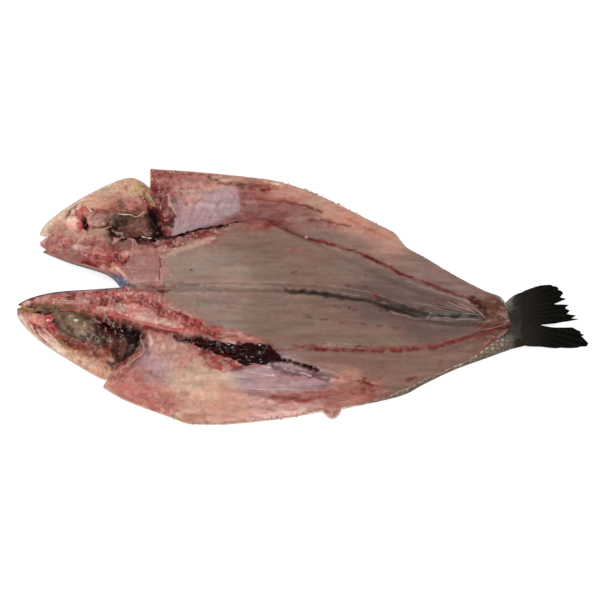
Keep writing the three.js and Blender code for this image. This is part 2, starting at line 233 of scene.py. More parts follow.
# Colour of the cut face: places where each tissue shows plainly
WASH = {
    "loin_pale": [
        (-115, 14), (-100, 10), (-85, 8), (-90, 24), (-72, 20), (-70, 5), (-52, 8), (-100, 28),
        (-100, -13), (-85, -12), (-70, -20), (-56, -15), (-80, -4), (-100, 0),
    ],
    "loin": [
        (-35, 10), (-42, 35), (-20, 28), (0, 14), (20, 22), (-62, 40), (45, 14), (-10, 40), (20, 8),
        (-40, -8), (-40, -22), (-28, -36), (-10, -18), (-8, -40), (10, -14), (22, -18), (-20, -5), (0, -4),
        (10, -38), (40, -38), (60, -38), (75, -38), (30, -28),
    ],
    "loin_rear": [
        (60, 6), (75, 4), (88, -6), (102, -6), (120, -10), (60, -14), (80, -22), (95, -30), (110, -32),
        (125, -32), (138, -30), (60, -24), (40, -14),
    ],
    "flap_flesh": [
        (0, 56), (20, 50), (40, 44), (58, 40), (75, 32), (90, 25), (105, 18), (125, 8), (142, -2), (-60, -4),
    ],
    "side_dark": [
        (10, -58), (30, -60), (50, -60), (70, -66), (90, -68), (100, -58), (120, -52), (140, -46),
        (60, -75),
    ],
    "raw_red": [(-124, 106), (-122, 92), (-124, 76), (-114, 60), (-118, 84)],
    "rose": [(-40, 72), (-25, 70), (-10, 68), (-48, 66), (-95, 102), (-112, 98), (-70, 62), (-85, 58)],
    "lilac": [
        (-98, 60), (-85, 66), (-72, 74), (-62, 80), (-105, 76), (-50, -72), (-35, -74), (-20, -74), (-5, -76),
        (8, -80), (-115, -60), (-108, -50),
    ],
    "pink": [
        (-150, -78), (-138, -80), (-125, -84), (-112, -90), (-140, -68), (-122, -74), (-205, 42),
    ],
    "bone_pink": [(-190, -8), (-150, -18), (-170, -14), (-205, -8), (-130, -24), (-115, -28), (-100, -30)],
    "skull": [(-185, 36), (-170, 34)],
    "pale_pink": [
        (-94, 80), (-98, 92), (-88, 96), (-30, -98), (-10, -98), (10, -96), (-145, 20), (-130, 20),
        (-128, 34),
    ],
    "peach": [
        (-168, 82), (-160, 88), (-85, -98), (-70, -102), (-60, -90), (-100, -92), (20, 78), (35, 68),
        (50, 60), (65, 50), (78, 42), (5, 86), (-12, 92), (40, -84), (30, -92), (-68, 98),
    ],
    "tan": [
        (-105, -76), (-92, -72), (-80, -74), (-66, -74), (-75, -84), (-90, -84), (-190, 48), (-178, 48),
    ],
    "cream": [
        (-200, 70), (-186, 80), (-160, 95), (-178, -62), (-168, -62), (-188, -58), (-210, 62),
        (-150, 98),
    ],
    "rust": [(-175, -52), (-162, -54)],
    "muscle": [(155, -10), (160, -32), (150, -36), (168, -20)],
    "olive": [(-186, -30), (-176, -36), (-196, -26)],
    "cavity": [(-125, 56), (-150, 50), (-140, -46), (-146, -52), (-142, -38)],
}

# Tissue that fills an area: tissue, soft border, strength, outline
AREAS = [
    # far half of the head
    ("cream", 4, 0.9, [
        (-190, 78), (-176, 86), (-160, 93), (-146, 97), (-149, 104), (-172, 96), (-192, 84),
    ]),
    ("cartilage", 3, 0.42, [(-222, 52), (-212, 60), (-202, 62), (-197, 56), (-204, 49), (-214, 49)]),
    ("tan_dull", 4, 0.5, [
        (-206, 50), (-197, 56), (-190, 51), (-175, 53), (-160, 49), (-168, 45), (-190, 46), (-204, 46),
    ]),
    ("skull", 5, 0.85, [
        (-213, 47), (-190, 46), (-165, 45), (-138, 43), (-118, 38), (-116, 8), (-135, 7), (-150, 12),
        (-165, 20), (-190, 27), (-208, 33), (-219, 39),
    ]),
    ("raw_pink", 3, 0.8, [
        (-188, 27), (-176, 31), (-160, 35), (-150, 33), (-142, 24), (-152, 16), (-165, 19), (-180, 22),
    ]),
    ("nape", 5, 0.9, [(-142, 27), (-130, 31), (-119, 30), (-117, 5), (-138, 5), (-146, 12)]),
    ("orange", 4, 0.5, [(-174, 72), (-164, 79), (-150, 81), (-147, 72), (-158, 69)]),
    ("muscle", 4, 0.6, [(-163, 71), (-157, 77), (-149, 77), (-148, 71)]),
    ("coral", 3, 0.8, [(-197, 58), (-196, 68), (-190, 74), (-182, 73), (-180, 66), (-182, 54), (-190, 51)]),
    ("milk", 2, 0.9, [(-198, 58), (-195, 65), (-191, 63), (-188, 55), (-192, 52)]),
    ("cavity", 4, 1, [
        (-163, 48), (-163, 64), (-150, 66), (-140, 70), (-130, 74), (-122, 70), (-114, 56), (-112, 45),
        (-128, 40), (-150, 42),
    ]),
    ("olive_dark", 3, 0.9, [(-163, 51), (-163, 66), (-152, 68), (-143, 64), (-144, 52)]),
    ("muscle", 4, 0.95, [(-147, 50), (-147, 66), (-134, 69), (-127, 60), (-130, 50)]),
    ("pink", 2.5, 0.85, [(-148, 70), (-147, 80), (-138, 82), (-132, 76), (-136, 69)]),
    # near half of the head
    ("skull", 4, 0.75, [
        (-226, -9), (-210, -4), (-180, -2), (-150, -3), (-122, -6), (-118, -14), (-150, -12), (-178, -18),
        (-205, -14),
    ]),
    ("cream", 2, 0.7, [(-238, -10), (-232, -6), (-228, -7), (-229, -11), (-233, -12)]),
    ("tongue", 2.5, 0.95, [(-230, -20), (-214, -21), (-212, -28), (-218, -31), (-226, -28)]),
    ("coral", 2.5, 0.95, [
        (-213, -21), (-206, -20.6), (-203.6, -27), (-202, -38), (-206, -40), (-210, -33), (-214, -27),
    ]),
    ("raw_pink", 3, 0.85, [(-224, -31), (-210, -30), (-203, -38), (-206, -44), (-214, -44), (-222, -38)]),
    ("milk", 3, 0.85, [
        (-237, -18), (-231, -22), (-222, -36), (-206, -46), (-196, -52), (-202, -54), (-222, -42),
        (-236, -26),
    ]),
    ("olive_dark", 2.5, 0.9, [
        (-230, -12), (-222, -11), (-206, -13), (-190, -15), (-176, -21), (-165, -31), (-158, -45),
        (-167, -48), (-184, -43), (-200, -35), (-207, -26), (-208, -18.4), (-222, -17.6), (-230, -15),
    ]),
    ("rust", 3, 0.85, [
        (-202, -40), (-190, -44), (-170, -48), (-160, -47), (-158, -57), (-172, -57), (-186, -51),
    ]),
    ("raw_red", 3, 0.7, [(-198, -39), (-185, -43), (-168, -48), (-172, -52), (-188, -50), (-198, -45)]),
    ("blood", 3, 0.95, [(-171, -24), (-160, -25), (-146, -28), (-146, -40), (-158, -40), (-166, -36)]),
    ("cavity", 4, 1, [
        (-152, -30), (-138, -31), (-131, -38), (-134, -50), (-146, -59), (-155, -60), (-152, -46),
    ]),
    ("muscle", 3, 0.85, [(-157, -37), (-148, -37), (-145, -47), (-149, -53), (-157, -50)]),
    ("peach", 4, 0.45, [(-222, -6), (-206, -3), (-200, -8), (-203, -12), (-220, -11)]),
    ("raw_pink", 5, 0.6, [(-168, -4), (-150, -5), (-122, -10), (-118, -18), (-150, -13), (-168, -12)]),
    ("silver", 1.2, 0.95, [
        (-161, 13), (-152, 11), (-143, 5), (-137, 1.6), (-144, 0), (-150, 1), (-156, 6),
    ]),
    ("steel", 5, 0.45, [(-150, 2), (-140, 3), (-120, 2.4), (-116, -2), (-130, -4), (-146, -3)]),
    ("raw_pink", 3, 0.75, [
        (-112, -19), (-92, -25), (-71, -33.4), (-50, -38), (-38, -43), (-28, -49), (-30, -53), (-44, -48),
        (-66, -44), (-90, -38), (-104, -30),
    ]),
    ("bone_pink", 5, 0.85, [
        (-155, -17), (-125, -22), (-100, -26), (-80, -33), (-62, -42), (-80, -40), (-100, -38),
        (-128, -32), (-150, -26),
    ]),
    # far belly flap
    ("pink", 5, 0.5, [(-131, 112), (-131, 98), (-118, 92), (-104, 100), (-102, 112)]),
    ("raw_red", 4, 0.55, [(-129, 82), (-118, 50), (-108, 48), (-110, 62), (-116, 84), (-122, 90)]),
    ("lilac", 3, 0.95, [
        (-109, 46), (-109, 58), (-104, 66), (-95, 72), (-92, 78), (-82, 85), (-74, 91), (-65, 92.5),
        (-58, 88), (-52, 78), (-52, 72), (-58, 67), (-70, 61), (-85, 55), (-100, 49),
    ]),
    ("rose", 5, 0.38, [(-104, 106), (-78, 105), (-80, 98), (-104, 98)]),
    ("mauve", 6, 0.8, [
        (-52, 72), (-50, 63), (-30, 62), (-5, 61), (15, 58), (30, 56), (14, 66), (0, 74), (-20, 78),
        (-44, 80),
    ]),
    # near belly flap
    ("speckled", 5, 0.85, [
        (-128, -38), (-112, -40), (-92, -44), (-84, -50), (-86, -64), (-100, -66), (-118, -62),
    ]),
    ("lilac", 6, 0.55, [(-131, -46), (-124, -56), (-112, -62), (-108, -76), (-122, -78), (-134, -66)]),
    ("lilac", 6, 0.45, [
        (-60, -69), (-44, -65), (-20, -62), (0, -66), (22, -74), (30, -80), (20, -85), (0, -85), (-25, -84),
        (-45, -83), (-55, -78),
    ]),
    ("pink", 6, 0.4, [
        (-166, -80), (-152, -72), (-130, -76), (-108, -84), (-98, -98), (-108, -108), (-140, -95),
    ]),
    ("tan", 6, 0.42, [
        (-110, -69), (-88, -66), (-62, -69), (-52, -78), (-60, -88), (-80, -92), (-102, -86),
    ]),
    ("peach", 6, 0.8, [(-98, -92), (-70, -92), (-48, -88), (-46, -108), (-92, -112)]),
    ("orange", 6, 0.3, [(40, -76), (52, -76), (66, -78), (68, -88), (50, -93), (36, -90)]),
    ("rose", 7, 0.5, [(4, -92), (28, -78), (44, -74), (64, -78), (60, -92), (40, -98), (12, -100)]),
    ("raw_pink", 3, 0.75, [
        (-88, -49), (-70, -53), (-56, -60), (-48, -63), (-52, -67), (-66, -66), (-80, -62),
    ]),
    # more of the near belly flap, and the forehead of the near half
    ("rose", 7, 0.45, [(18, -84), (34, -76), (52, -78), (68, -80), (62, -94), (40, -99), (20, -97)]),
    ("rose", 6, 0.2, [(-40, -68), (0, -68), (24, -76), (24, -88), (-10, -88), (-40, -86)]),
    ("raw_pink", 3, 0.45, [
        (-205, -2), (-180, 0), (-150, 0), (-125, -2), (-125, -7), (-150, -6), (-180, -5), (-205, -7),
    ]),
]

# Tissue that follows a line: tissue, half width, strength, rise, course
STROKES = [
    # the slit of the mouth and the seam along the back, both shallower than in the solid
    ("olive", 4.5, 0.4, 7.5, [(-236, -13), (-226, -14), (-216, -15), (-207, -16)]),
    ("loin_pale", 4, 0.4, 3.8, [(-116, 1), (-95, 1), (-72, 0), (-48, 0), (-24, -1)]),
    ("loin", 4, 0.5, 1.4, [(-28, -1), (0, -2), (20, -3)]),
    ("nape", 3, 0.4, 2, [(-146, 2), (-130, 2), (-114, 1)]),
    ("seam", 0.9, 0.6, -0.2, [(-148, 2.4), (-126, 2), (-100, 2), (-80, 2)]),
    ("seam", 1.6, 0.3, 0, [(-80, 2), (-60, 1), (-30, -1)]),
    ("raw_red", 1, 0.6, -0.1, [(-128, 2.4), (-118, 1.6), (-106, 1.6)]),
    ("raw_red", 2, 0.6, 0, [(-120, -2), (-115, -3), (-110, -1)]),
    ("skin_dark", 2.6, 0.85, -0.6, [(-14, -1), (0, -3), (15, -4), (40, -7), (50, -8), (62, -9)]),
    ("skin_black", 1.9, 0.75, -0.3, [(-2, -2), (16, -4), (40, -7), (60, -9)]),
    ("skin_dark", 4.2, 0.95, -0.5, [(62, -10), (70, -13), (80, -16), (92, -18), (104, -20)]),
    ("pale_line", 0.8, 0.9, 0.4, [(73, -18), (85, -21), (95, -22.6), (103, -22.4), (107, -18.4)]),
    ("steel", 2.8, 0.9, 0, [(107, -20), (120, -20), (135, -20), (150, -20)]),
    ("skin_black", 1.3, 0.7, -0.2, [(112, -21), (118, -21)]),
    ("skin_black", 1.5, 0.7, -0.2, [(124, -21), (132, -21)]),
    ("skin_black", 1.5, 0.7, -0.2, [(138, -21), (147, -21)]),
    ("pale_line", 0.8, 0.45, 0.4, [(106, -23), (120, -23.4), (135, -23.6), (151, -24)]),
    ("skin_black", 1, 0.5, -0.2, [(112, -11), (122, -14.4), (132, -17)]),
    # far half: the dark cut between flap and loin, with painted shade in its gap, then the blood line
    ("raw_red", 4.5, 0.8, 0, [(-114, 38), (-106, 39), (-96, 43)]),
    ("raw_red", 4, 0.8, 0, [(-94, 46), (-84, 48), (-74, 51), (-62, 52)]),
    ("blood", 2.4, 0.85, -0.3, [(-76, 53), (-64, 55), (-54, 57)]),
    ("cavity", 1.7, 0.95, -1.6, [(-120, 43), (-112, 44), (-104, 46), (-96, 49)]),
    ("blood", 1.3, 0.9, -1.2, [(-98, 48), (-88, 52), (-78, 53), (-68, 54), (-58, 57), (-50, 59)]),
    ("cavity", 0.7, 0.9, -0.8, [(-76, 54), (-66, 55), (-58, 57), (-50, 59.6)]),
    ("blood", 0.7, 0.8, -0.5, [(-50, 59.6), (-42, 60.6), (-32, 60.4), (-24, 60.2)]),
    ("fascia", 2.6, 0.8, 0.5, [(-110, 30), (-98, 34), (-86, 39), (-74, 42)]),
    ("raw_red", 4.2, 0.7, 0, [(-30, 57), (-22, 55), (-17, 54)]),
    ("raw_red", 2.6, 0.55, -0.2, [(-20, 53), (-5, 49), (10, 44), (25, 41)]),
    ("blood_line", 1.7, 0.9, -0.4, [
        (-28, 57), (-17, 53.4), (-5, 48.6), (8, 44.6), (18, 41.6), (28, 39.6), (36, 36), (46, 33.6),
        (52, 30.6), (62, 26), (71, 21.6), (80, 16.4), (88, 12.6), (98, 9.6), (103, 7),
    ]),
    *(("blood", 0.9, 0.7, -0.2, course) for course in (
        [(26, 40), (36, 36.2), (46, 33.6)], [(52, 30.4), (62, 26), (71, 21.8)],
        [(78, 17), (88, 12.6), (98, 9.4)])),
    ("blood_line", 1.4, 0.85, -0.3, [(104, 7), (112, 4), (120, 1), (128, -2), (136, -5)]),
    ("blood_line", 2.2, 0.8, -0.3, [(136, -5), (144, -9), (151, -14)]),
    ("blood", 2.6, 0.8, -0.2, [(139, -4), (146, -8), (152, -14)]),
    ("blood", 1.4, 0.75, -0.2, [(151, -12), (153, -18), (151, -24)]),
    ("raw_red", 1.3, 0.6, 0, [(-12, 33), (-6, 34), (-1, 35)]),
    ("raw_red", 0.7, 0.7, -0.2, [(-118, 4), (-118.4, 12), (-118, 20), (-118.6, 28)]),
    ("pale_pink", 1.4, 0.6, 0, [(-122, 8), (-117, 5), (-116, 12)]),
    # far flap
    ("blood", 2, 0.8, -0.4, [(-111, 55), (-110, 62), (-109, 67)]),
    ("cavity", 1.6, 0.75, -0.5, [(-119, 44), (-117, 54), (-112, 60)]),
    ("pale_pink", 1.3, 0.8, 0.7, [(-113, 86), (-112, 78), (-109, 72), (-106, 66)]),
    ("raw_red", 1.4, 0.75, 0, [(-82, 104), (-76, 101), (-71, 100)]),
    ("rust", 1.6, 0.7, 0, [(-73, 98), (-66, 97), (-60, 97)]),
    ("rust", 4, 0.5, 0, [(-60, 97), (-52, 96), (-40, 94)]),
    ("rust", 3.4, 0.6, 0, [(-54, 96), (-51, 88), (-49, 76)]),
    ("rust", 2.6, 0.5, 0, [(-46, 92), (-36, 93), (-20, 93)]),
    ("raw_red", 1.9, 0.85, 0, [(-41, 92), (-35, 91), (-27, 90)]),
    ("blood_line", 0.8, 0.5, -0.1, [(-46, 83), (-36, 82), (-26, 80.6)]),
    ("blood_line", 1.4, 0.8, -0.1, [(-28, 81), (-12, 79), (0, 76), (9, 73), (16, 70)]),
    ("blood_line", 1, 0.75, -0.1, [(6, 64), (20, 62.2), (31, 59.6), (42, 57.8)]),
    ("raw_red", 1.5, 0.5, 0, [(2, 63), (16, 63), (28, 61)]),
    ("fat", 1.6, 0.7, 0.5, [(-34, 100), (-20, 97), (-8, 94), (4, 89)]),
    ("fat", 1.2, 0.6, 0.3, [(10, 86), (24, 80), (34, 75)]),
    ("orange", 1.6, 0.5, 0, [(36, 66), (50, 58), (62, 52), (74, 46)]),
    # near half: ridge of the backbone, the blood under it and the near blood line
    ("pale_pink", 1.6, 0.7, 0.6, [(-152, -21), (-138, -25), (-128, -28)]),
    ("pale_pink", 3.2, 0.85, 0.3, [(-140, -25), (-128, -28), (-112, -31), (-98, -34)]),
    ("bone_pink", 1.3, 0.8, 0.8, [(-130, -32), (-118, -33), (-106, -36), (-95, -38)]),
    ("blood_line", 1.1, 0.85, -0.9, [(-132, -33), (-120, -35.4), (-108, -38), (-98, -40.6)]),
    ("raw_red", 2.4, 0.7, 0, [(-124, -14), (-112, -20), (-100, -24), (-92, -28)]),
    ("pale_pink", 1, 0.6, 0.2, [(-106, -19), (-96, -21.6), (-84, -26)]),
    ("raw_red", 1.2, 0.5, -0.2, [(-118, -21), (-108, -24)]),
    ("raw_red", 2.2, 0.75, 0.2, [(-90, -28), (-89, -33)]),
    ("raw_red", 2.4, 0.7, 0, [(-84, -37), (-74, -40), (-66, -43)]),
    ("pale_pink", 1.3, 0.5, 0.2, [(-62, -39), (-50, -41), (-40, -44)]),
    ("blood", 2, 0.95, -0.3, [(-106, -41), (-96, -43), (-86, -44), (-76, -47), (-68, -49)]),
    ("clot", 3.6, 0.95, 0, [(-84, -46), (-74, -48), (-64, -51), (-54, -53)]),
    ("clot", 6.4, 0.95, 0, [(-58, -52), (-48, -54), (-38, -55), (-29, -56), (-20, -58)]),
    ("clot", 1.7, 0.95, -0.4, [(-26, -58), (-14, -61), (-4, -62), (6, -65), (14, -68)]),
    ("raw_red", 3.4, 0.8, 0.3, [(-88, -50), (-78, -54), (-68, -58), (-56, -62)]),
    ("bone_pink", 1.6, 0.8, 0.4, [(-60, -63), (-50, -62), (-42, -63), (-34, -63)]),
    ("raw_red", 1.3, 0.75, 0.2, [(-44, -62), (-36, -63), (-30, -62)]),
    ("blood_line", 0.8, 0.6, 0, [(-22, -51.6), (-12, -51), (-4, -49.6)]),
    ("near_line", 0.9, 0.85, 0, [(-6, -49), (0, -49.6), (6, -50)]),
    *(("near_line", 1.4, 0.87, -0.1, [(x, y), (x + 5, y - 0.8), (x + 10, y - 0.4)]) for x, y in (
        (11, -50.4), (25, -50.8), (41, -51), (57, -51), (72, -50.4))),
    ("near_line", 1.1, 0.85, -0.1, [(86, -50), (94, -49.4), (101, -49)]),
    ("near_line", 1.4, 0.85, -0.1, [(104, -48), (112, -47), (117, -46)]),
    ("near_line", 1.4, 0.85, -0.1, [(119, -45), (127, -43), (134, -41)]),
    ("raw_red", 2.4, 0.45, 0, [
        (-8, -49), (12, -49), (32, -50), (52, -50), (72, -50), (92, -49), (112, -46), (134, -40),
    ]),
    ("blood_line", 2, 0.8, -0.2, [(134, -40), (142, -38), (150, -35), (158, -33), (166, -31), (172, -28)]),
    ("blood", 2.2, 0.8, -0.2, [(160, -31), (168, -30), (173, -28)]),
    ("pale_line", 1.4, 0.6, 0.2, [(162, -3), (166, -6), (169, -9)]),
    # near loin: rows of short dark marks
    *(("dash", 0.9, 0.75, -0.1, [(x, y), (x + 6, y - 0.5)]) for x, y in (
        (2, -24.4), (14, -26), (31, -28), (47, -30), (61, -31), (75, -31.2))),
    ("flesh_line", 1, 0.5, 0, [(-62, -17), (-52, -18), (-44, -18.6)]),
    # small red marks on the loins
    *(("raw_red", 0.9, 0.6, 0, [(x, y), (x + along, y + across)]) for x, y, along, across in (
        (1, -15, 2, -2), (25, -13, 6, -3), (38, -16, 7, -2), (35, 4, 5, 0), (56, -1, 9, -7), (-49, 27, 3, 0),
        (10, 18, 2, 0), (-8, 14, 4, 0), (53, 12, 3, -1), (52, 2, 3, 0), (-92, 15, 1, 1))),
    # near flap
    ("mauve", 2.6, 0.7, -0.1, [(-46, -85), (-30, -86), (-15, -87)]),
    ("rose", 4, 0.85, 0, [(-24, -88), (-6, -89), (8, -88), (22, -86)]),
    ("raw_red", 1.6, 0.4, 0, [(-16, -90), (0, -91), (14, -89)]),
    ("mauve", 2, 0.5, 0, [(20, -86), (32, -85), (44, -82)]),
    ("purple", 2.3, 0.8, -0.4, [(-24, -66), (-5, -69), (8, -71), (22, -73)]),
    ("purple", 1.2, 0.6, -0.2, [(12, -73), (22, -74)]),
    ("raw_red", 0.8, 0.7, 0, [(23, -71), (31, -72.8)]),
    ("raw_red", 2.4, 0.8, 0.3, [(49, -74), (51, -78)]),
    ("raw_red", 2, 0.8, 0.3, [(54, -76), (56, -80)]),
    ("raw_red", 1.4, 0.6, 0.2, [(48, -82), (52, -84)]),
    ("raw_red", 1.4, 0.45, 0, [(82, -76), (94, -73)]),
    ("milk", 1.4, 0.5, 0.3, [(-128, -37), (-125, -42), (-126, -48)]),
    ("raw_red", 2.4, 0.23, 0, [(-128, -68), (-118, -72)]),
    ("pale_pink", 1.4, 0.65, 0.2, [(-118, -98), (-110, -100), (-104, -102)]),
    ("orange", 3.2, 0.35, 0, [(-97, -105), (-88, -106), (-80, -106)]),
    ("orange", 2.2, 0.5, 0, [(-100, -84), (-94, -85)]),
    ("raw_pink", 2.4, 0.6, 0, [(-74, -64), (-62, -65), (-50, -64)]),
    # far half of the head, and the rims of the head
    ("milk", 1.8, 0.8, 0.5, [(-221, 55), (-214, 64), (-205, 71)]),
    ("raw_red", 1.8, 0.7, 0, [(-200, 62), (-196, 69), (-192, 74)]),
    ("milk", 1.7, 0.9, 0.8, [(-194, 66), (-192, 71), (-188, 74)]),
    ("blood", 2.4, 0.95, -0.6, [(-184, 64), (-183, 58), (-181, 52)]),
    ("rust", 2.2, 0.75, 0, [(-180, 70), (-172, 69), (-164, 69), (-154, 71)]),
    ("coral", 2, 0.6, 0, [(-178, 70), (-170, 69)]),
    ("cavity", 1.4, 0.5, -0.3, [(-156, 74), (-150, 74)]),
    ("yellow_fat", 1.8, 0.8, 0.4, [(-131, 85), (-129, 79), (-125, 74)]),
    ("olive_dark", 1.3, 0.8, -0.2, [(-181, 53), (-170, 54), (-162, 52)]),
    ("blood_line", 2, 0.85, -0.4, [(-160, 44), (-152, 48), (-142, 47)]),
    ("blood", 2.4, 0.8, -0.6, [(-156, 47), (-146, 46), (-136, 43), (-124, 41)]),
    ("milk", 1, 0.9, 0.4, [(-134.6, 47.6), (-131, 46.6), (-127, 46.6)]),
    ("milk", 0.8, 0.6, 0.3, [(-160, 54), (-156, 51.6), (-152, 52)]),
    ("pale_pink", 1.2, 0.85, 0.7, [(-158, 40), (-155, 45), (-148, 46), (-142, 43), (-141, 38), (-143, 34)]),
    ("pale_pink", 1.1, 0.75, 0.5, [
        (-188, 41), (-184, 45), (-176, 46), (-169, 43.6), (-167.6, 39), (-174, 36.4), (-183, 37),
        (-188, 40),
    ]),
    ("blood", 1, 0.7, -0.4, [(-153, 33), (-154, 27), (-150, 21.5), (-145, 22)]),
    ("blood", 1, 0.7, -0.3, [(-186, 24), (-180, 21.4), (-173, 21)]),
    ("raw_red", 1.6, 0.6, 0, [(-186, 24), (-176, 22), (-168, 20)]),
    ("pale_pink", 1.4, 0.6, 0.2, [(-168, 18), (-160, 17), (-152, 13)]),
    ("cream", 1.4, 0.6, 0.2, [(-158, 21), (-152, 16), (-146, 10)]),
    ("pale_pink", 1.8, 0.5, 0, [(-192, 37), (-186, 36), (-180, 37)]),
    ("cavity", 1.4, 0.6, -0.3, [(-123, 36), (-119, 38), (-117, 42)]),
    ("rim", 4, 0.75, 0, [(-221, 50), (-210, 65), (-194, 80), (-178, 92), (-160, 99)]),
    ("skin_dark", 0.9, 0.8, 0, [(-219.5, 35.6), (-207, 30), (-195, 25.2), (-178, 18.4), (-160, 11.6)]),
    ("skin_dark", 0.8, 0.75, 0, [
        (-228, -6.6), (-216, -2.6), (-200, 0.4), (-180, 1.8), (-160, 2.2), (-142, 2.8),
    ]),
    ("rim", 2.4, 0.5, 0, [(-138, -95), (-116, -104), (-98, -111)]),
    ("lilac_light", 3, 0.7, 0, [(-219, 43), (-216, 45)]),
    # near half of the head
    ("mustard", 1.8, 0.95, 0.3, [(-237, -13), (-230, -16), (-221, -16)]),
    # Painted shade in the slit of the mouth
    ("cavity", 1.5, 1, -0.6, [(-221, -18), (-215, -19), (-209, -19)]),
    ("olive", 5.5, 0.75, 0.3, [(-204, -21), (-196, -24), (-184, -29), (-174, -36)]),
    # Painted sheen in the middle of the mouth lining
    ("cartilage", 4.5, 0.5, 0.3, [(-192, -27), (-184, -33), (-180, -37)]),
    ("olive", 1.8, 0.5, 0.2, [(-218, -13), (-206, -15), (-196, -17)]),
    ("mustard", 0.9, 0.6, 0, [(-220, -12), (-206, -12.6), (-192, -16), (-180, -20.6)]),
    ("lilac_light", 2, 0.75, 0.7, [(-230, -10), (-226, -10)]),
    ("cavity", 0.8, 0.75, -0.3, [(-199, -6), (-194, -6.6), (-189, -6)]),
    ("raw_red", 3, 0.8, -0.3, [(-167, -7), (-163, -9), (-160, -11)]),
    ("blood", 1.5, 0.85, -0.4, [(-167, -13), (-165, -16), (-162, -16)]),
    ("blood", 1.2, 0.75, -0.3, [(-157, -9), (-152, -11), (-148, -10)]),
    ("milk", 2, 0.3, 0.3, [(-171, -19), (-160, -19), (-153, -19)]),
    ("pale_pink", 4.6, 0.9, 0.4, [(-158, -17), (-144, -18), (-134, -21), (-122, -25)]),
    ("raw_red", 0.9, 0.6, -0.2, [(-153, -13), (-154, -19), (-150, -23)]),
    ("raw_red", 1.6, 0.5, 0, [(-140, -12), (-130, -15), (-122, -19)]),
    ("bone_pink", 1.4, 0.6, 0.2, [(-200, -18), (-188, -18), (-178, -20)]),
    ("raw_red", 1.1, 0.8, -0.3, [(-226, -26), (-221, -31), (-216, -37)]),
    ("milk", 1.2, 0.8, 0.6, [(-222, -32), (-216, -36), (-210, -40)]),
    ("raw_red", 1, 0.75, -0.3, [(-219, -30), (-212, -34), (-205, -39)]),
    ("milk", 1.2, 0.8, 0.6, [(-213, -36), (-208, -41), (-202, -47)]),
    ("raw_red", 1, 0.75, -0.2, [(-217, -38), (-211, -42)]),
    ("blood_line", 1.6, 0.65, 0, [(-196, -46), (-184, -48), (-172, -50)]),
    ("blood", 1.5, 0.6, -0.2, [(-176, -50), (-170, -53), (-166, -55)]),
    ("milk", 2.4, 0.3, 0.3, [(-181, -60), (-174, -62), (-166, -62)]),
    ("mustard", 1.4, 0.7, 0, [(-202, -41), (-199, -46), (-193, -49)]),
    ("peach", 1.4, 0.4, 0.6, [(-180, -65), (-172, -67), (-164, -69)]),
    ("orange", 1.5, 0.8, 0.2, [(-163, -64), (-161, -68)]),
    ("cavity", 1, 0.75, -0.4, [(-176, -44), (-168, -47.6), (-160, -48)]),
    ("raw_pink", 1.4, 0.75, 0.4, [(-158, -67), (-151, -65), (-145, -62)]),
    ("raw_pink", 1.1, 0.7, 0.8, [(-151, -67), (-145, -62), (-138, -57), (-132, -52), (-131, -46)]),
    ("blood", 1.6, 0.7, 0, [(-160, -60), (-155, -64), (-150, -64)]),
]

# Tissue in an oval: tissue, centre, half axes, turn in degrees, strength, rise
SPOTS = [
    ("olive_dark", (160, -21), (13, 15), 0, 0.42, 0),
    ("yellow_fat", (-139, 89.6), (8, 7.5), 0, 0.95, 0.8),
    ("coral", (-150, 91), (2, 3.6), 0, 0.55, 0),
    ("peach", (-172, 78), (6, 5), 0, 0.6, 0.6),
    ("skull", (-172, 60), (9.5, 6), 0, 0.85, 0.5),
    ("milk", (-166.5, 57), (1.2, 1.4), 0, 0.4, 0),
    ("nape", (-147, 40.4), (4.6, 3.6), 0, 0.85, -0.3),
    ("pale_pink", (-147, 30), (4.8, 5), 20, 0.85, 0.8),
    ("cavity", (-125, 61), (5, 10), 0, 0.9, -0.6),
    # Two painted highlights on the far belly lining
    ("lilac_light", (-76, 76), (2.72, 5.1), 0, 0.36, 0),
    ("lilac_light", (-87, 77), (4.42, 3.06), 20, 0.4, 0),
    ("raw_red", (-98, 77), (1.4, 2.6), -20, 0.65, 0),
    ("fat", (-95, 84), (3.4, 2), 40, 0.7, 0.3),
    ("fat", (-106, 88), (2, 4), 0, 0.5, 0.2),
    ("lilac", (-106, 76), (3.6, 6), 0, 0.7, 0.2),
    ("milk", (4, 46.4), (1.1, 1.1), 0, 0.9, 0.6),
    ("raw_red", (-106, 39), (4, 3), 20, 0.7, 0.2),
    ("milk", (-22, 97), (3, 1.6), 0, 0.35, 0.8),
    ("fat", (9, 85.6), (4, 2), -20, 0.7, 0.9),
    ("fat", (82, 48), (1.6, 2), 0, 0.7, 0.5),
    ("milk", (-102, -104), (2, 2.4), 0, 0.6, 0.4),
    ("yellow_fat", (-102, -106), (1.8, 2), 0, 0.8, 0.5),
    ("dash", (115, -59.6), (2.2, 1), 0, 0.6, 0),
    ("milk", (-115, -47), (1.6, 2.2), 0, 0.5, 0.2),
    ("milk", (-156, -32), (1.4, 3), 10, 0.85, 0.4),
    ("muscle", (-152, -44), (4, 5), 0, 0.6, 0.5),
]

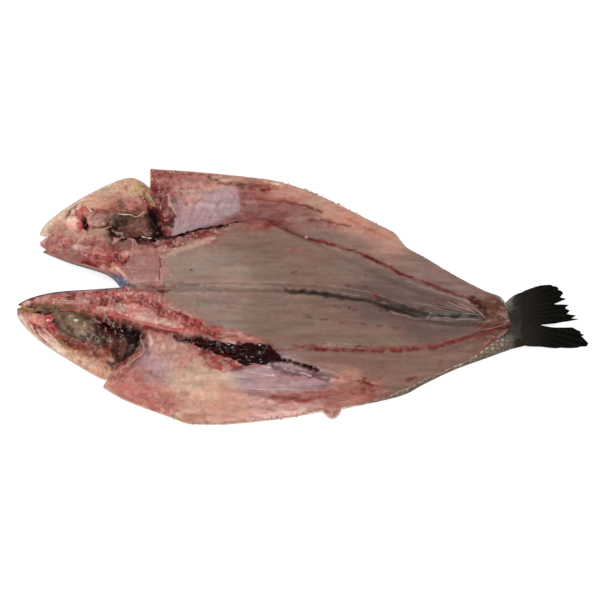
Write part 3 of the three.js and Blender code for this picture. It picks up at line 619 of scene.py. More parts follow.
# Raised tissue of each piece: direction of its folds in degrees, height, width
# of its rounded border, outline
CUSHIONS = {
    "gill_tissue": [
        (70, 1.3, 4, [
            (-196, 60), (-194, 65), (-194, 68), (-191, 72), (-188, 74), (-186, 72), (-185, 67),
            (-183, 63), (-184, 59), (-185, 55), (-186, 51), (-190, 50), (-193, 53), (-196, 57),
        ]),
        (20, 1.6, 3, [
            (-180, 58), (-178, 61), (-174, 64), (-169, 65), (-166, 62), (-162, 62), (-162, 58),
            (-165, 54), (-170, 53), (-176, 54), (-179, 55),
        ]),
        (150, 0.9, 3, [
            (-150, 78), (-142, 80), (-137, 81), (-134, 78), (-134, 73), (-137, 72), (-141, 69), (-147, 70),
        ]),
        (100, 1, 5, [
            (-147, 97), (-140, 97), (-134, 92), (-132, 88), (-134, 84), (-138, 82), (-143, 84), (-146, 91),
        ]),
        (80, 1.3, 3, [
            (-161, -41), (-154, -39), (-149, -40), (-149, -46), (-153, -50), (-160, -50), (-162, -46),
        ]),
        (60, 1.2, 2.5, [
            (-151, 29), (-150, 34), (-146, 34), (-143, 30), (-144, 25), (-148, 22), (-150, 25),
        ]),
        (100, 1, 3, [
            (-212, -24), (-209, -19), (-206, -20), (-204, -23), (-206, -26), (-204, -28), (-204, -32),
            (-209, -32), (-212, -30),
        ]),
    ],
    "mouth_lining": [
        (-34, 2, 8, [
            (-203, -22), (-198, -19), (-190, -20), (-183, -23), (-176, -26), (-171, -28), (-169, -33),
            (-168, -38), (-165, -41), (-162, -44), (-164, -46), (-168, -47), (-175, -46), (-182, -43),
            (-189, -40), (-195, -37), (-200, -33), (-203, -27),
        ]),
    ],
    "belly_lining": [
        (70, 0.5, 2.5, [
            (-109, 47), (-109, 55), (-106, 63), (-100, 68), (-95, 72), (-92, 78), (-85, 83), (-79, 88),
            (-74, 91), (-68, 92), (-62, 90), (-58, 86), (-54, 80), (-51, 75), (-52, 71), (-58, 68),
            (-66, 64), (-74, 60), (-85, 55), (-94, 52), (-102, 48),
        ]),
        (8, 0.4, 2.5, [
            (-56, -68), (-46, -66), (-34, -65), (-20, -64), (-8, -66), (4, -69), (16, -74), (24, -79),
            (20, -83), (8, -84), (-8, -83), (-24, -83), (-40, -83), (-50, -80), (-56, -75),
        ]),
    ],
}

# Strands of each piece: tissue, half thickness, lift, course
STRANDS = {
    "bones": [
        ("pale_line", 0.3, 0.2, [(101, -10), (109, -12), (121, -14), (133, -17)]),
        ("pale_line", 0.3, 0.2, [(115, -11), (124, -13), (131, -16), (135, -17)]),
        ("pale_pink", 0.32, 0.25, [(121, -8), (128, -12), (137, -15), (144, -18)]),
        ("pale_pink", 0.4, 0.3, [(130, -10), (136, -12), (140, -16), (144, -18)]),
        ("pale_line", 0.34, 0.25, [(122, -3), (132, -6), (140, -10), (146, -16), (152, -23)]),
        ("pale_pink", 0.4, 0.3, [(135, -6), (140, -9)]),
        ("pale_pink", 0.34, 0.3, [(138, -12), (147, -17), (153, -23)]),
        ("pale_line", 0.3, 0.2, [(92, -10), (104, -12), (116, -16)]),
        ("pale_line", 0.4, 0.3, [(134, -19), (140, -19), (148, -20)]),
        ("pale_line", 0.34, 0.3, [(80, -20), (88, -22), (95, -22), (104, -21), (108, -18)]),
        ("pale_line", 0.45, 0.3, [(108, -22), (119, -22), (128, -23), (138, -23), (148, -23)]),
        ("bone_pink", 0.34, 0.2, [(137, -35), (146, -32), (152, -27), (158, -24)]),
        ("pink", 0.4, 0.3, [(148, -33), (161, -30), (170, -27)]),
        ("peach", 0.5, 0.2, [(163, -18), (168, -21), (171, -23)]),
        ("pale_pink", 0.55, 0.2, [
            (-156, 41), (-156, 43), (-153, 45), (-149, 47), (-143, 45), (-139, 40), (-139, 36), (-142, 32),
        ]),
        ("skull", 0.6, 0.1, [(-185, 40), (-181, 43), (-174, 43), (-165, 41), (-164, 38)]),
        ("cream", 0.5, 0.2, [(-172, 36), (-168, 34), (-164, 33)]),
        ("milk", 0.8, 0.6, [(-135, 49), (-131, 46), (-125, 45)]),
        ("pale_pink", 0.55, 0.5, [
            (-157, -71), (-150, -67), (-143, -63), (-137, -58), (-132, -54), (-130, -50), (-132, -45),
            (-134, -39),
        ]),
        ("pale_pink", 1, 0.5, [(-113, 86), (-112, 78), (-109, 72), (-106, 66)]),
        ("bone_pink", 1.1, 0.6, [(-152, -24), (-136, -29), (-118, -34), (-106, -37), (-97, -39)]),
        ("cream", 1.1, 0.5, [(-214, -32), (-209, -37), (-204, -42), (-199, -47)]),
        ("milk", 1.2, 0.6, [(-218, -36), (-212, -41), (-206, -45), (-199, -50)]),
        ("milk", 0.9, 0.5, [(-226, -28), (-222, -33), (-217, -38)]),
        ("yellow_fat", 0.8, 0.4, [(-237, -10), (-234, -12), (-229, -14), (-224, -15)]),
        ("tan_dull", 0.7, 0.3, [(-224, -12), (-216, -11), (-207, -13), (-198, -16), (-188, -19)]),
        ("pale_pink", 0.6, 0.3, [(-203, -9), (-194, -10), (-186, -10), (-178, -9)]),
    ],
    "gill_tissue": [
        ("pink", 0.8, 0.5, [(-221, -30), (-218, -33), (-216, -36), (-215, -38)]),
        ("pale_pink", 0.7, 0.5, [(-216, -32), (-212, -35), (-209, -38)]),
        ("raw_pink", 0.8, 0.5, [(-223, -31), (-219, -36), (-215, -39)]),
        ("rust", 0.7, 0.4, [(-156, 78), (-152, 76), (-146, 74)]),
        ("mauve", 0.7, 0.4, [(-156, 76), (-151, 75), (-146, 72)]),
        ("rust", 0.6, 0.4, [(-155, 74), (-151, 72), (-146, 70)]),
        ("yellow_fat", 0.9, 0.5, [(-131, 86), (-128, 81), (-125, 76), (-125, 73)]),
        ("orange", 0.7, 0.4, [(-133, 82), (-130, 78), (-127, 73)]),
        ("milk", 0.5, 0.5, [(-155, 67), (-151, 66), (-146, 66), (-141, 66), (-137, 69), (-134, 72)]),
        ("milk", 0.6, 0.6, [(-182, 74), (-180, 71), (-177, 68)]),
        ("lilac_light", 0.5, 0.5, [(-180, 73), (-178, 70), (-175, 68)]),
        ("orange", 0.8, 0.4, [(-175, 69), (-169, 68), (-163, 67)]),
        ("yellow_fat", 0.5, 0.3, [(-180, 52), (-173, 52), (-166, 53), (-160, 56)]),
        ("lilac_light", 0.5, 0.6, [(-158, -28), (-156, -31), (-155, -35)]),
        ("pale_pink", 0.5, 0.5, [(-161, -28), (-158, -31), (-157, -35)]),
        ("olive_dark", 0.45, 0.9, [(-170, -39), (-166, -41), (-162, -44)]),
        ("olive_dark", 0.45, 0.9, [(-171, -42), (-168, -44), (-164, -45)]),
        ("olive_dark", 0.4, 0.9, [(-168, -33), (-167, -37), (-166, -39)]),
    ],
}

# Small torn strands and lumps of each piece, in bands: tissues, count, length,
# half thickness, half width of the band, course
SHREDS = {
    "shreds": [
        (("raw_red", "pink", "pale_pink"), 46, 4.5, 0.45, 3.4, [
            (-118, 41), (-100, 45), (-80, 51), (-60, 56),
        ]),
        (("raw_red", "pink", "fat"), 36, 4.5, 0.5, 5, [(-126, 107), (-122, 90), (-116, 70), (-110, 52)]),
        (("raw_pink", "pale_pink", "raw_red"), 60, 4, 0.5, 4.5, [
            (-190, 28), (-172, 26), (-160, 24), (-150, 20),
        ]),
        (("pink", "pale_pink", "raw_red"), 36, 5, 0.4, 4.5, [
            (-186, -10), (-170, -12), (-150, -14), (-118, -20),
        ]),
        (("raw_red", "pale_pink", "bone_pink"), 60, 5, 0.5, 3.4, [
            (-84, -53), (-66, -60), (-46, -62), (-28, -62),
        ]),
        (("raw_pink", "pale_pink"), 34, 4.5, 0.5, 2.4, [(-160, -74), (-150, -69), (-141, -62)]),
        (("raw_red", "blood", "pink"), 40, 4, 0.5, 5, [(-168, -29), (-158, -32), (-150, -35)]),
        (("rust", "orange", "raw_red"), 40, 4, 0.5, 3.4, [(-196, -43), (-180, -47), (-164, -50)]),
        (("raw_red", "orange", "pink"), 20, 3, 0.8, 3, [(46, -76), (52, -78), (58, -80)]),
        (("fat", "peach", "cream"), 90, 1.6, 0.8, 1.6, [
            (-34, 100.6), (-10, 95), (15, 85.4), (41, 72.4), (66, 58.8), (80, 51),
        ]),
        (("peach", "fat", "yellow_fat"), 60, 1.6, 0.8, 1.4, [
            (-107, -103.6), (-92, -108.6), (-63, -109), (-35, -106.6), (-10, -103.2), (16, -98.8)]),
        (("fat", "pale_pink", "raw_red"), 50, 3, 0.5, 1.6, [
            (-128, 108.6), (-87, 105.8), (-60, 103), (-36, 100.6),
        ]),
    ],
}

# Clotted blood in a band: count, largest half size, half width of the band, course
CLOTS = [
    (30, 1.3, 1.6, [(-98, -42.6), (-88, -44), (-78, -46)]),
    (64, 2.4, 3.8, [(-86, -45.6), (-70, -49.4), (-56, -53)]),
    (90, 3.4, 6.2, [(-62, -52), (-48, -54.6), (-37, -55.4), (-24, -57)]),
    (20, 2.6, 4.4, [(-36, -55), (-28, -55.6), (-19, -58.6)]),
    (60, 1, 0.7, [(-26, -58.5), (-12, -61), (2, -64), (13, -67.5)]),
    (60, 1.7, 4.2, [(-168, -30), (-158, -33), (-150, -34), (-140, -36)]),
    (40, 1.1, 1.3, [(-120, 43), (-104, 46), (-88, 52), (-66, 54.8), (-52, 59)]),
    (24, 1.4, 3.4, [(-156, 46), (-144, 47), (-132, 44), (-120, 42)]),
    (12, 1.2, 2, [(-183, 63), (-182, 57), (-182, 51)]),
]


def ease(t):
    """A smooth step from 0 to 1."""
    t = np.clip(t, 0, 1)
    return t ** 2 * (3 - 2 * t)


def linear(text):
    """The linear colour of a six-digit colour code."""
    value = np.array([int(text[i:i + 2], 16) / 255 for i in (0, 2, 4)])
    return tuple(np.where(value <= 0.04045, value / 12.92, ((value + 0.055) / 1.055) ** 2.4))


def colour(name, description, text):
    return FloatVectorProperty(
        name=name, description=description, subtype="COLOR", size=3, min=0, max=1, default=linear(text))


def length(name, description, millimetres):
    return FloatProperty(
        name=name, description=description, unit="LENGTH", default=millimetres * MM, precision=5)


def angle(name, description, degrees):
    return FloatProperty(name=name, description=description, subtype="ANGLE", default=math.radians(degrees))


def factor(name, description, value):
    return FloatProperty(name=name, description=description, subtype="FACTOR", min=0, default=value)


# Curves, distances and noise

def smooth_path(points, closed=False, per_point=6):
    """A smooth curve through points, as an array of rows x, y."""
    p = np.array(points, float)
    if closed:
        before, start, end, after = np.roll(p, 1, 0), p, np.roll(p, -1, 0), np.roll(p, -2, 0)
    else:
        padded = np.vstack([p[:1], p, p[-1:]])
        before, start, end, after = padded[:-3], padded[1:-2], padded[2:-1], padded[3:]
    t = (np.arange(per_point) / per_point)[None, :, None]
    a, b, c, d = (q[:, None, :] for q in (before, start, end, after))
    rows = 2 * b + (c - a) * t + (2 * a - 5 * b + 4 * c - d) * t ** 2 + (3 * b - a - 3 * c + d) * t ** 3
    rows = 0.5 * rows.reshape(-1, 2)
    return rows if closed else np.vstack([rows, p[-1:]])


def joined(runs, per_point=6):
    """The closed loop made by runs that meet in corners."""
    return np.vstack([smooth_path(run, per_point=per_point)[:-1] for run in runs])


def closed_path(loop):
    """The loop with its first point once more at the end."""
    return np.vstack([loop, loop[:1]])


def evenly(path, step, closed=True):
    """The path again with points about a step apart."""
    if closed:
        path = closed_path(path)
    along = np.concatenate([[0], np.cumsum(np.linalg.norm(np.diff(path, axis=0), axis=1))])
    count = max(8 if closed else 2, int(along[-1] / step))
    places = np.linspace(0, along[-1], count, endpoint=not closed)
    return np.column_stack([np.interp(places, along, path[:, k]) for k in (0, 1)])


def nearest(path, x, y):
    """Distance from each place to a path, and how far along the path that is."""
    a, step = path[:-1], np.diff(path, axis=0)
    size = np.maximum((step ** 2).sum(1), 1e-12)
    gap, along = np.empty(len(x)), np.empty(len(x))
    for i in range(0, len(x), 4096):
        px, py = x[i:i + 4096, None] - a[:, 0], y[i:i + 4096, None] - a[:, 1]
        t = np.clip((px * step[:, 0] + py * step[:, 1]) / size, 0, 1)
        square = (px - t * step[:, 0]) ** 2 + (py - t * step[:, 1]) ** 2
        best = square.argmin(1)
        rows = np.arange(len(best))
        gap[i:i + 4096] = np.sqrt(square[rows, best])
        along[i:i + 4096] = (best + t[rows, best]) / len(a)
    return gap, along


def is_inside(loop, x, y):
    """Whether each place lies in a loop: an odd number of its sides is crossed on the way out."""
    a, b = loop, np.roll(loop, -1, 0)
    inside = np.empty(len(x), bool)
    for i in range(0, len(x), 4096):
        px, py = x[i:i + 4096, None], y[i:i + 4096, None]
        crosses = (a[:, 1] > py) != (b[:, 1] > py)
        rise = np.where(a[:, 1] == b[:, 1], 1, b[:, 1] - a[:, 1])
        left = px < a[:, 0] + (py - a[:, 1]) * (b[:, 0] - a[:, 0]) / rise
        inside[i:i + 4096] = (crosses & left).sum(1) % 2 == 1
    return inside


def depth_inside(loop, x, y):
    """Distance to a loop, positive inside it."""
    gap, _ = nearest(closed_path(loop), x, y)
    return np.where(is_inside(loop, x, y), gap, -gap)


def noise(x, y, size, seed):
    """Smooth noise from -1 to 1 with lumps about `size` millimetres across."""
    count = 128
    table = np.random.default_rng(seed).uniform(-1, 1, (count, count))
    turn = 0.4 + seed
    u = (x * math.cos(turn) - y * math.sin(turn)) / size + 500
    v = (x * math.sin(turn) + y * math.cos(turn)) / size + 500
    i, j = np.floor(u).astype(int), np.floor(v).astype(int)
    fu, fv = ease(u - i), ease(v - j)
    i, j = i % count, j % count
    i2, j2 = (i + 1) % count, (j + 1) % count
    low = table[i, j] * (1 - fu) + table[i2, j] * fu
    high = table[i, j2] * (1 - fu) + table[i2, j2] * fu
    return low * (1 - fv) + high * fv


def rough_noise(x, y, size, seed, layers=3):
    """Noise in layers, each half as large and half as strong as the one before."""
    layered = sum(noise(x, y, size / 2 ** k, seed + k) / 2 ** k for k in range(layers))
    return layered / (2 - 0.5 ** (layers - 1))


def cells(x, y, size, seed):
    """Uneven cells about `size` millimetres across: distance to a cell's edge, and two values of it."""
    count = 64
    table = np.random.default_rng(seed).uniform(0, 1, (count, count, 4))
    u, v = x / size + 500, y / size + 500
    i, j = np.floor(u).astype(int), np.floor(v).astype(int)
    first, second, owner = np.full(len(x), 9.0), np.full(len(x), 9.0), np.zeros((len(x), 2))
    for di in (-1, 0, 1):
        for dj in (-1, 0, 1):
            cell = table[(i + di) % count, (j + dj) % count]
            gap = np.hypot(u - i - di - cell[:, 0], v - j - dj - cell[:, 1])
            closer = gap < first
            second = np.where(closer, first, np.minimum(second, gap))
            owner[closer] = cell[closer, 2:] * 2 - 1
            first = np.where(closer, gap, first)
    return second - first, owner[:, 0], owner[:, 1]


# Heights of the fish, from the same guide shapes as its solid

EDGE = joined(OUTLINE + [FIN_FAR_EDGE] + FIN_OUTLINE[1:-2] + [FIN_NEAR_EDGE] + NEAR_OUTLINE, 3)
FAR_FLAP_LOOP = smooth_path(FAR_FLAP, True, 4)
NEAR_FLAP_LOOP = smooth_path(NEAR_FLAP, True, 4)


def spread(spots, x, y, reach):
    """Height between places: the plane that best fits the places nearby."""
    px, py, height = np.array(spots, float).T
    result = np.empty(len(x))
    for i in range(0, len(x), 8192):
        dx, dy = px - x[i:i + 8192, None], py - y[i:i + 8192, None]
        weight = np.exp(-(dx ** 2 + dy ** 2) / (2 * reach ** 2)) + 1e-6
        terms = np.stack([np.ones_like(dx), dx, dy], -1)
        weighted = terms * weight[..., None]
        system = np.einsum("nki,nkj->nij", weighted, terms)
        right = np.einsum("nki,k->ni", weighted, height)
        result[i:i + 8192] = np.linalg.solve(system, right[..., None])[:, 0, 0]
    return result


def plain_height(x, y, size):
    """Height of the cut face without its ridges, hollows and rounded edge."""
    height = spread(BODY_HEIGHTS, x, y, size.spot_reach / MM)
    for loop, spots in ((FAR_FLAP_LOOP, FAR_FLAP_HEIGHTS), (NEAR_FLAP_LOOP, NEAR_FLAP_HEIGHTS)):
        share = ease(depth_inside(loop, x, y) / (size.flap_step / MM) + 0.5)
        on = share > 0
        height[on] += (spread(spots, x[on], y[on], size.spot_reach / MM) - height[on]) * share[on]
    return height


def main_relief(x, y):
    """Rise of the ridges, hollows and mounds."""
    rise = np.zeros(len(x))
    for lift, reach, points in RIDGES:
        gap, along = nearest(smooth_path(points), x, y)
        rise += lift * np.maximum(0, 1 - (gap / reach) ** 2) ** 1.5 * ease(np.minimum(along, 1 - along) * 8)
    for lift, wall, points in HOLLOWS:
        rise += lift * ease(depth_inside(smooth_path(points, True), x, y) / wall)
    for at, half, turn, lift in MOUNDS:
        rise += lift * np.maximum(0, 1 - oval_ring(at, half, turn, x, y)) ** 0.8
    return rise


def oval_ring(at, half, turn, x, y):
    """Square of how far out in an oval each place is: 0 in its middle and 1 on its edge."""
    turn = math.radians(turn)
    dx, dy = x - at[0], y - at[1]
    u = (dx * math.cos(turn) + dy * math.sin(turn)) / half[0]
    v = (dy * math.cos(turn) - dx * math.sin(turn)) / half[1]
    return u ** 2 + v ** 2


def fin_share(x):
    return ease((x - FIN_START) / FIN_JOIN)


def fin_thickness(x, size):
    taper = np.clip((x - FIN_START) / (FIN_END - FIN_START), 0, 1)
    return (size.fin_root + (size.fin_tip - size.fin_root) * taper) / MM


def face_heights(x, y, size):
    """Height of the cut face and of the skin side at each place."""
    plain = plain_height(x, y, size)
    depth = np.maximum(0, depth_inside(EDGE, x, y))
    rounding = np.sin(math.pi / 2 * np.minimum(1, depth / (size.shoulder / MM)))
    share = fin_share(x)
    rim = size.rim_share + (1 - size.rim_share) * np.maximum(rounding, share)
    bilge = 1 - np.minimum(1, depth / (plain * size.bilge))
    fin = np.maximum(0, plain - fin_thickness(x, size))
    top = plain * rim + main_relief(x, y) * rounding
    return top, plain * size.skin_lift * bilge ** 2 * (1 - share) + fin * share


# Loops of the skin's outer edge and of the cut flesh

def skin_loop(step):
    return evenly(joined(OUTLINE + TAIL_STEM_END + NEAR_OUTLINE), step)


def turned_area(loop):
    """Twice the area inside a loop, negative where the loop runs clockwise."""
    after = np.roll(loop, -1, 0)
    return np.sum(loop[:, 0] * after[:, 1] - after[:, 0] * loop[:, 1])


def anticlockwise(loop):
    return loop if turned_area(loop) > 0 else loop[::-1]


def inward(loop, widths):
    """The loop moved inward by a width at each point."""
    ahead, behind = np.roll(loop, -2, 0), np.roll(loop, 2, 0)
    along = ahead - behind
    along /= np.maximum(np.linalg.norm(along, axis=1, keepdims=True), 1e-9)
    normal = np.column_stack([along[:, 1], -along[:, 0]])
    return loop + normal * np.asarray(widths)[:, None] * (-1 if turned_area(loop) > 0 else 1)


def drawn_in(loop, widths):
    """The loop moved inward, without the points that cross over at tight corners."""
    moved = inward(loop, widths)
    gap, _ = nearest(closed_path(loop), *moved.T)
    return moved, gap > 0.85 * np.abs(widths) - 0.02


def flesh_loop(step):
    """Edge of the cut face: the outline drawn in by the width of skin that shows, with an end of its own."""
    far = evenly(joined(OUTLINE + [[(170, -8.2), (174, -47.5)]] + NEAR_OUTLINE), step)
    px, py, width = np.array(SKIN_EDGE_WIDTHS, float).T
    gap = np.hypot(far[:, :1] - px, far[:, 1:] - py)
    weight = 1 / (gap + 1) ** 3
    ragged = np.where(far[:, 0] < 150, rough_noise(far[:, 0], far[:, 1], 5, 31) * 0.35 + 0.2, 0)
    inset, fits = drawn_in(far, (weight * width).sum(1) / weight.sum(1) + ragged)
    # Both edges stop where the flesh's own end begins and ends
    kept = ~((far[:, 0] > 157) & (far[:, 1] > -30) | (far[:, 0] > 127) & (far[:, 1] < -20))
    start = int(np.flatnonzero(kept & ~np.roll(kept, 1))[0])
    order = np.roll(np.arange(len(far)), -start)
    order = order[(kept & fits)[order]]
    end = evenly(smooth_path(FLESH_END)[1:-1], step, False)
    return np.vstack([inset[order], end[::-1] if far[order[0], 1] > -20 else end])


def filled(loop, spacing, margin=0.6):
    """Points of an uneven triangular grid inside a loop. `spacing` lists start, end and step along X."""
    rng = np.random.default_rng(7)
    shake, row_height = 0.12, 0.866
    low, high = loop.min(0), loop.max(0)
    ends = np.roll(loop, -1, 0)
    near_edge = KDTree(len(loop))
    for i, corner in enumerate(loop):
        near_edge.insert((*corner, 0), i)
    near_edge.balance()
    points = []
    for start, end, step in spacing:
        xs = np.arange(max(start, low[0]), min(end, high[0]), step)
        for row, y in enumerate(np.arange(low[1] + 0.01, high[1], step * row_height)):
            crossed = (loop[:, 1] > y) != (ends[:, 1] > y)
            a, b = loop[crossed], ends[crossed]
            cuts = np.sort(a[:, 0] + (y - a[:, 1]) * (b[:, 0] - a[:, 0]) / (b[:, 1] - a[:, 1]))
            px = xs + (row % 2) * step / 2
            px = px[np.searchsorted(cuts, px) % 2 == 1]
            row_points = np.column_stack([px, np.full(len(px), y)])
            points.append(row_points + rng.uniform(-shake, shake, (len(px), 2)) * step)
    points = np.vstack(points)
    least = (margin + shake) * min(step for _, _, step in spacing)
    return points[[near_edge.find((px, py, 0))[2] > least for px, py in points]]


def triangulated(loops, inner):
    """Triangles that cover the first loop outside the others. The loops' points come first, in order."""
    points = np.vstack(list(loops) + ([inner] if len(inner) else []))
    edges, at = [], 0
    for loop in loops:
        edges += [(at + i, at + (i + 1) % len(loop)) for i in range(len(loop))]
        at += len(loop)
    _, _, faces, originals, _, _ = delaunay_2d_cdt([Vector(p) for p in points], edges, [], 1, 1e-7)
    crossing = sum(not o for o in originals)
    if crossing:
        raise RuntimeError(f"the loops cross {crossing} times")
    index = np.array([o[0] for o in originals])
    faces = index[np.array(faces)]
    for hole in loops[1:]:
        middle = points[faces].mean(1)
        faces = faces[~is_inside(hole, middle[:, 0], middle[:, 1])]
    a, b, c = points[faces[:, 0]], points[faces[:, 1]], points[faces[:, 2]]
    turned = (b[:, 0] - a[:, 0]) * (c[:, 1] - a[:, 1]) - (b[:, 1] - a[:, 1]) * (c[:, 0] - a[:, 0]) < 0
    faces[turned] = faces[turned][:, ::-1]
    return points, faces


def wall(first, second, count):
    """Triangles between two rows of vertices round the same loop, the first above the second."""
    i = np.arange(count)
    j = (i + 1) % count
    a, b, c, d = first + i, second + i, second + j, first + j
    return np.vstack([np.column_stack([a, b, c]), np.column_stack([a, c, d])])


def placed(name, data, **settings):
    """An object of the scene with its mesh, light or camera."""
    made = bpy.data.objects.new(name, data)
    bpy.context.scene.collection.objects.link(made)
    for key, value in settings.items():
        setattr(made, key, value)
    return made


def mesh_piece(name, vertices, faces, slot, material, shade, **scalars):
    """A closed mesh in metres from vertices in millimetres, with its colours, riding on the body."""
    mesh = bpy.data.meshes.new(name)
    mesh.from_pydata(np.asarray(vertices) * MM, [], np.asarray(faces))
    mesh.shade_smooth()
    opaque = np.column_stack([shade, np.ones(len(shade))]).astype(np.float32)
    mesh.attributes.new("tissue", "FLOAT_COLOR", "POINT").data.foreach_set("color", opaque.ravel())
    for key, values in scalars.items():
        mesh.attributes.new(key, "FLOAT", "POINT").data.foreach_set("value", np.asarray(values, np.float32))
    mesh.materials.append(material)
    piece = placed(name, mesh)
    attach(piece, "root")
    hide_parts(NODE)


# Painting

# How wet each tissue is, from 0 to 1, where it isn't the usual 0.3
WETNESS = {
    "lilac": 0.6, "lilac_light": 0.8, "clot": 0.15, "cavity": 0.15, "milk": 0.6, "skull": 0.45,
    "olive": 0.7, "olive_dark": 0.6, "coral": 0.7, "muscle": 0.45, "raw_red": 0.55, "blood_line": 0.5,
    "near_line": 0.45, "raw_pink": 0.6, "bone_pink": 0.55, "pale_pink": 0.55, "purple": 0.6, "skin_dark": 0.2,
    "skin_black": 0.2, "steel": 0.4, "pale_line": 0.6, "tongue": 0.5,
}

# How torn and uneven each tissue is, from 0 to 1, where it isn't the usual 0.2
TORN = {
    "raw_red": 1, "raw_pink": 1, "blood": 0.9, "pink": 0.45, "pale_pink": 0.55, "skull": 0.7,
    "bone_pink": 0.85, "cavity": 0.5, "rose": 0.4, "coral": 0.5, "cream": 0.4, "tan_dull": 0.5,
    "peach": 0.25, "orange": 0.5, "rust": 0.7, "muscle": 0.5, "milk": 0.45, "clot": 0.9, "nape": 0.12,
    "mauve": 0.4, "tongue": 0.5, "speckled": 0.5, "olive_dark": 0.5, "cartilage": 0.4, "fat": 0.4,
    "yellow_fat": 0.3, "olive": 0.3, "loin": 0.06, "loin_pale": 0.06, "loin_rear": 0.08, "flap_flesh": 0.1,
    "side_dark": 0.1,
}


def blended(shade, other, share):
    """The shade turned towards another one by a share at each place."""
    return shade + (np.asarray(other) - shade) * share[:, None]


def painted(x, y, tints):
    """Colour, wetness and small relief of the cut face at each place."""
    kinds = {
        name: np.array([*getattr(tints, name), WETNESS.get(name, 0.3), TORN.get(name, 0.2)])
        for name in tints.__annotations__
    }
    fine_x, fine_y = 0.9 * rough_noise(x, y, 2.8, 15, 2), 0.9 * rough_noise(x, y, 2.8, 25, 2)
    wx = x + 1.3 * rough_noise(x, y, 9, 11) + fine_x
    wy = y + 1.3 * rough_noise(x, y, 9, 21) + fine_y
    total, paint = np.zeros(len(x)), np.zeros((len(x), 5))
    far_x = x + 5 * rough_noise(x, y, 16, 12) + 2 * fine_x
    far_y = y + 3.5 * rough_noise(x * 0.5, y, 9, 22) + 2 * fine_y
    wash_reach = 8
    for name, places in WASH.items():
        for px, py in places:
            square = (far_x - px) ** 2 + (far_y - py) ** 2
            weight = np.exp(-square / (2 * wash_reach ** 2)) + 1e-9 / (square + 1)
            total += weight
            paint += weight[:, None] * kinds[name]
    paint /= total[:, None]
    rise = np.zeros(len(x))
    ragged = rough_noise(x, y, 3.2, 41, 3)
    streaked = 0.6 * rough_noise(x * 0.3, y, 3, 43, 3) + 0.5 * ragged

    def lay(near, name, cover, lift):
        paint[near] += (kinds[name] - paint[near]) * cover[:, None]
        rise[near] += lift * cover

    def close_to(points, reach):
        low, high = np.min(points, 0) - reach, np.max(points, 0) + reach
        return np.flatnonzero((x > low[0]) & (x < high[0]) & (y > low[1]) & (y < high[1]))

    for name, border, strength, points in AREAS:
        near = close_to(points, border * 2 + 4)
        depth = depth_inside(smooth_path(points, True, 4), wx[near], wy[near])
        lay(near, name, strength * ease(depth / (border * 1.8) + 0.5 + 0.55 * streaked[near]), 0)
    for name, half, strength, lift, points in STROKES:
        near = close_to(points, half * 2 + 4)
        gap, along = nearest(smooth_path(points), wx[near], wy[near])
        taper = 0.55 + 0.45 * ease(np.minimum(along, 1 - along) * 7)
        cover = ease(1.45 - gap / (half * taper) + 0.6 * ragged[near])
        lay(near, name, strength * cover, lift)
    for name, at, half, turn, strength, lift in SPOTS:
        near = close_to([at], max(half) * 1.6 + 4)
        ring = np.sqrt(oval_ring(at, half, turn, wx[near], wy[near]))
        lay(near, name, strength * ease(1.5 - ring + 0.5 * ragged[near]), lift)
    return mottled(x, y, paint[:, :3], paint[:, 3], paint[:, 4], rise)


# In torn flesh: what is added to pale fibres, the colour of a painted highlight (a glint), and what
# bloody fibres leave of the colour; what holes, creases and the creases of folds leave of it is darker
# and redder, partly blood and partly painted shade
PALE_FIBRE = (0.36, 0.24, 0.19)
PAINTED_GLINT = (0.5, 0.3, 0.25)
BLOODY_FIBRE = (0.95, 0.38, 0.38)
HOLE_BLOOD_AND_SHADE = (0.62, 0.14, 0.17)
CREASE_BLOOD_AND_SHADE = (0.5, 0.2, 0.2)
FOLD_CREASE_SHADE = (0.5, 0.25, 0.25)


def mottled(x, y, shade, wet, torn, rise):
    """Adds the grain of cut flesh: long streaks on the loins, and where it is torn lumps, holes and bloody
    creases that are partly painted shade, and painted glints.
    """
    run = (x + 70) * (1 - 0.6 * ease((x + 85) / 30))
    streak = 0.7 * rough_noise(x * 0.14, y, 3.4, 51, 3) + 0.6 * rough_noise(x * 0.08, y, 2.2, 59, 2)
    cloud = rough_noise(x * 0.5, y, 11, 53)
    lumps = rough_noise(run, y, 4.2, 55, 3)
    fine = rough_noise(run, y, 1.9, 57, 2)
    warp_x, warp_y = 1.4 * rough_noise(x, y, 4, 71, 2), 1.4 * rough_noise(x, y, 4, 73, 2)
    edge, pale, bloody = cells(run * 0.75 + warp_x, y + warp_y, 4.4, 75)
    tone = 1 + 0.25 * streak + 0.09 * cloud + (0.08 + 0.32 * torn) * fine
    tone = tone + torn * (0.14 * lumps + 0.18 * pale)
    warm = 0.11 * rough_noise(x * 0.25, y, 6, 61) + 0.16 * torn * rough_noise(x, y, 3, 65, 2)
    shade = shade * np.column_stack([1 + 0.6 * warm, 1 - warm, 1 - warm]) * tone[:, None]
    shade = blended(shade, shade * 0.45 + PALE_FIBRE, 0.45 * torn * ease(pale * 1.6 - 0.5))
    shade = blended(shade, shade * BLOODY_FIBRE, 0.6 * torn * ease(bloody * 1.5 - 0.3))
    # Holes: sunk, darker and redder; partly blood, partly painted shade in the hollows
    hole = torn * ease((rough_noise(run, y, 3.2, 79, 3) - 0.22) / 0.16)
    shade = blended(shade, shade * HOLE_BLOOD_AND_SHADE, 0.75 * hole)
    # Painted highlights: small raised glints of wet torn flesh
    glint = torn * ease((rough_noise(run, y, 2.8, 89, 3) - 0.3) / 0.15)
    shade = blended(shade, PAINTED_GLINT, 0.5 * glint)
    # Creases between the cells: sunk, darker and redder; partly blood, partly painted shade
    crease = torn * ease(1 - edge / 0.22)
    shade = blended(shade, shade * CREASE_BLOOD_AND_SHADE, 0.5 * crease)
    rise = rise - (0.08 + 0.5 * torn) * lumps + 0.05 * streak - 0.12 * torn * fine
    rise = rise + torn * (0.35 * pale - 0.5 * crease) + 0.4 * (glint - hole)
    return np.clip(shade, 0.001, 1), wet, rise


# Small shapes on the cut face

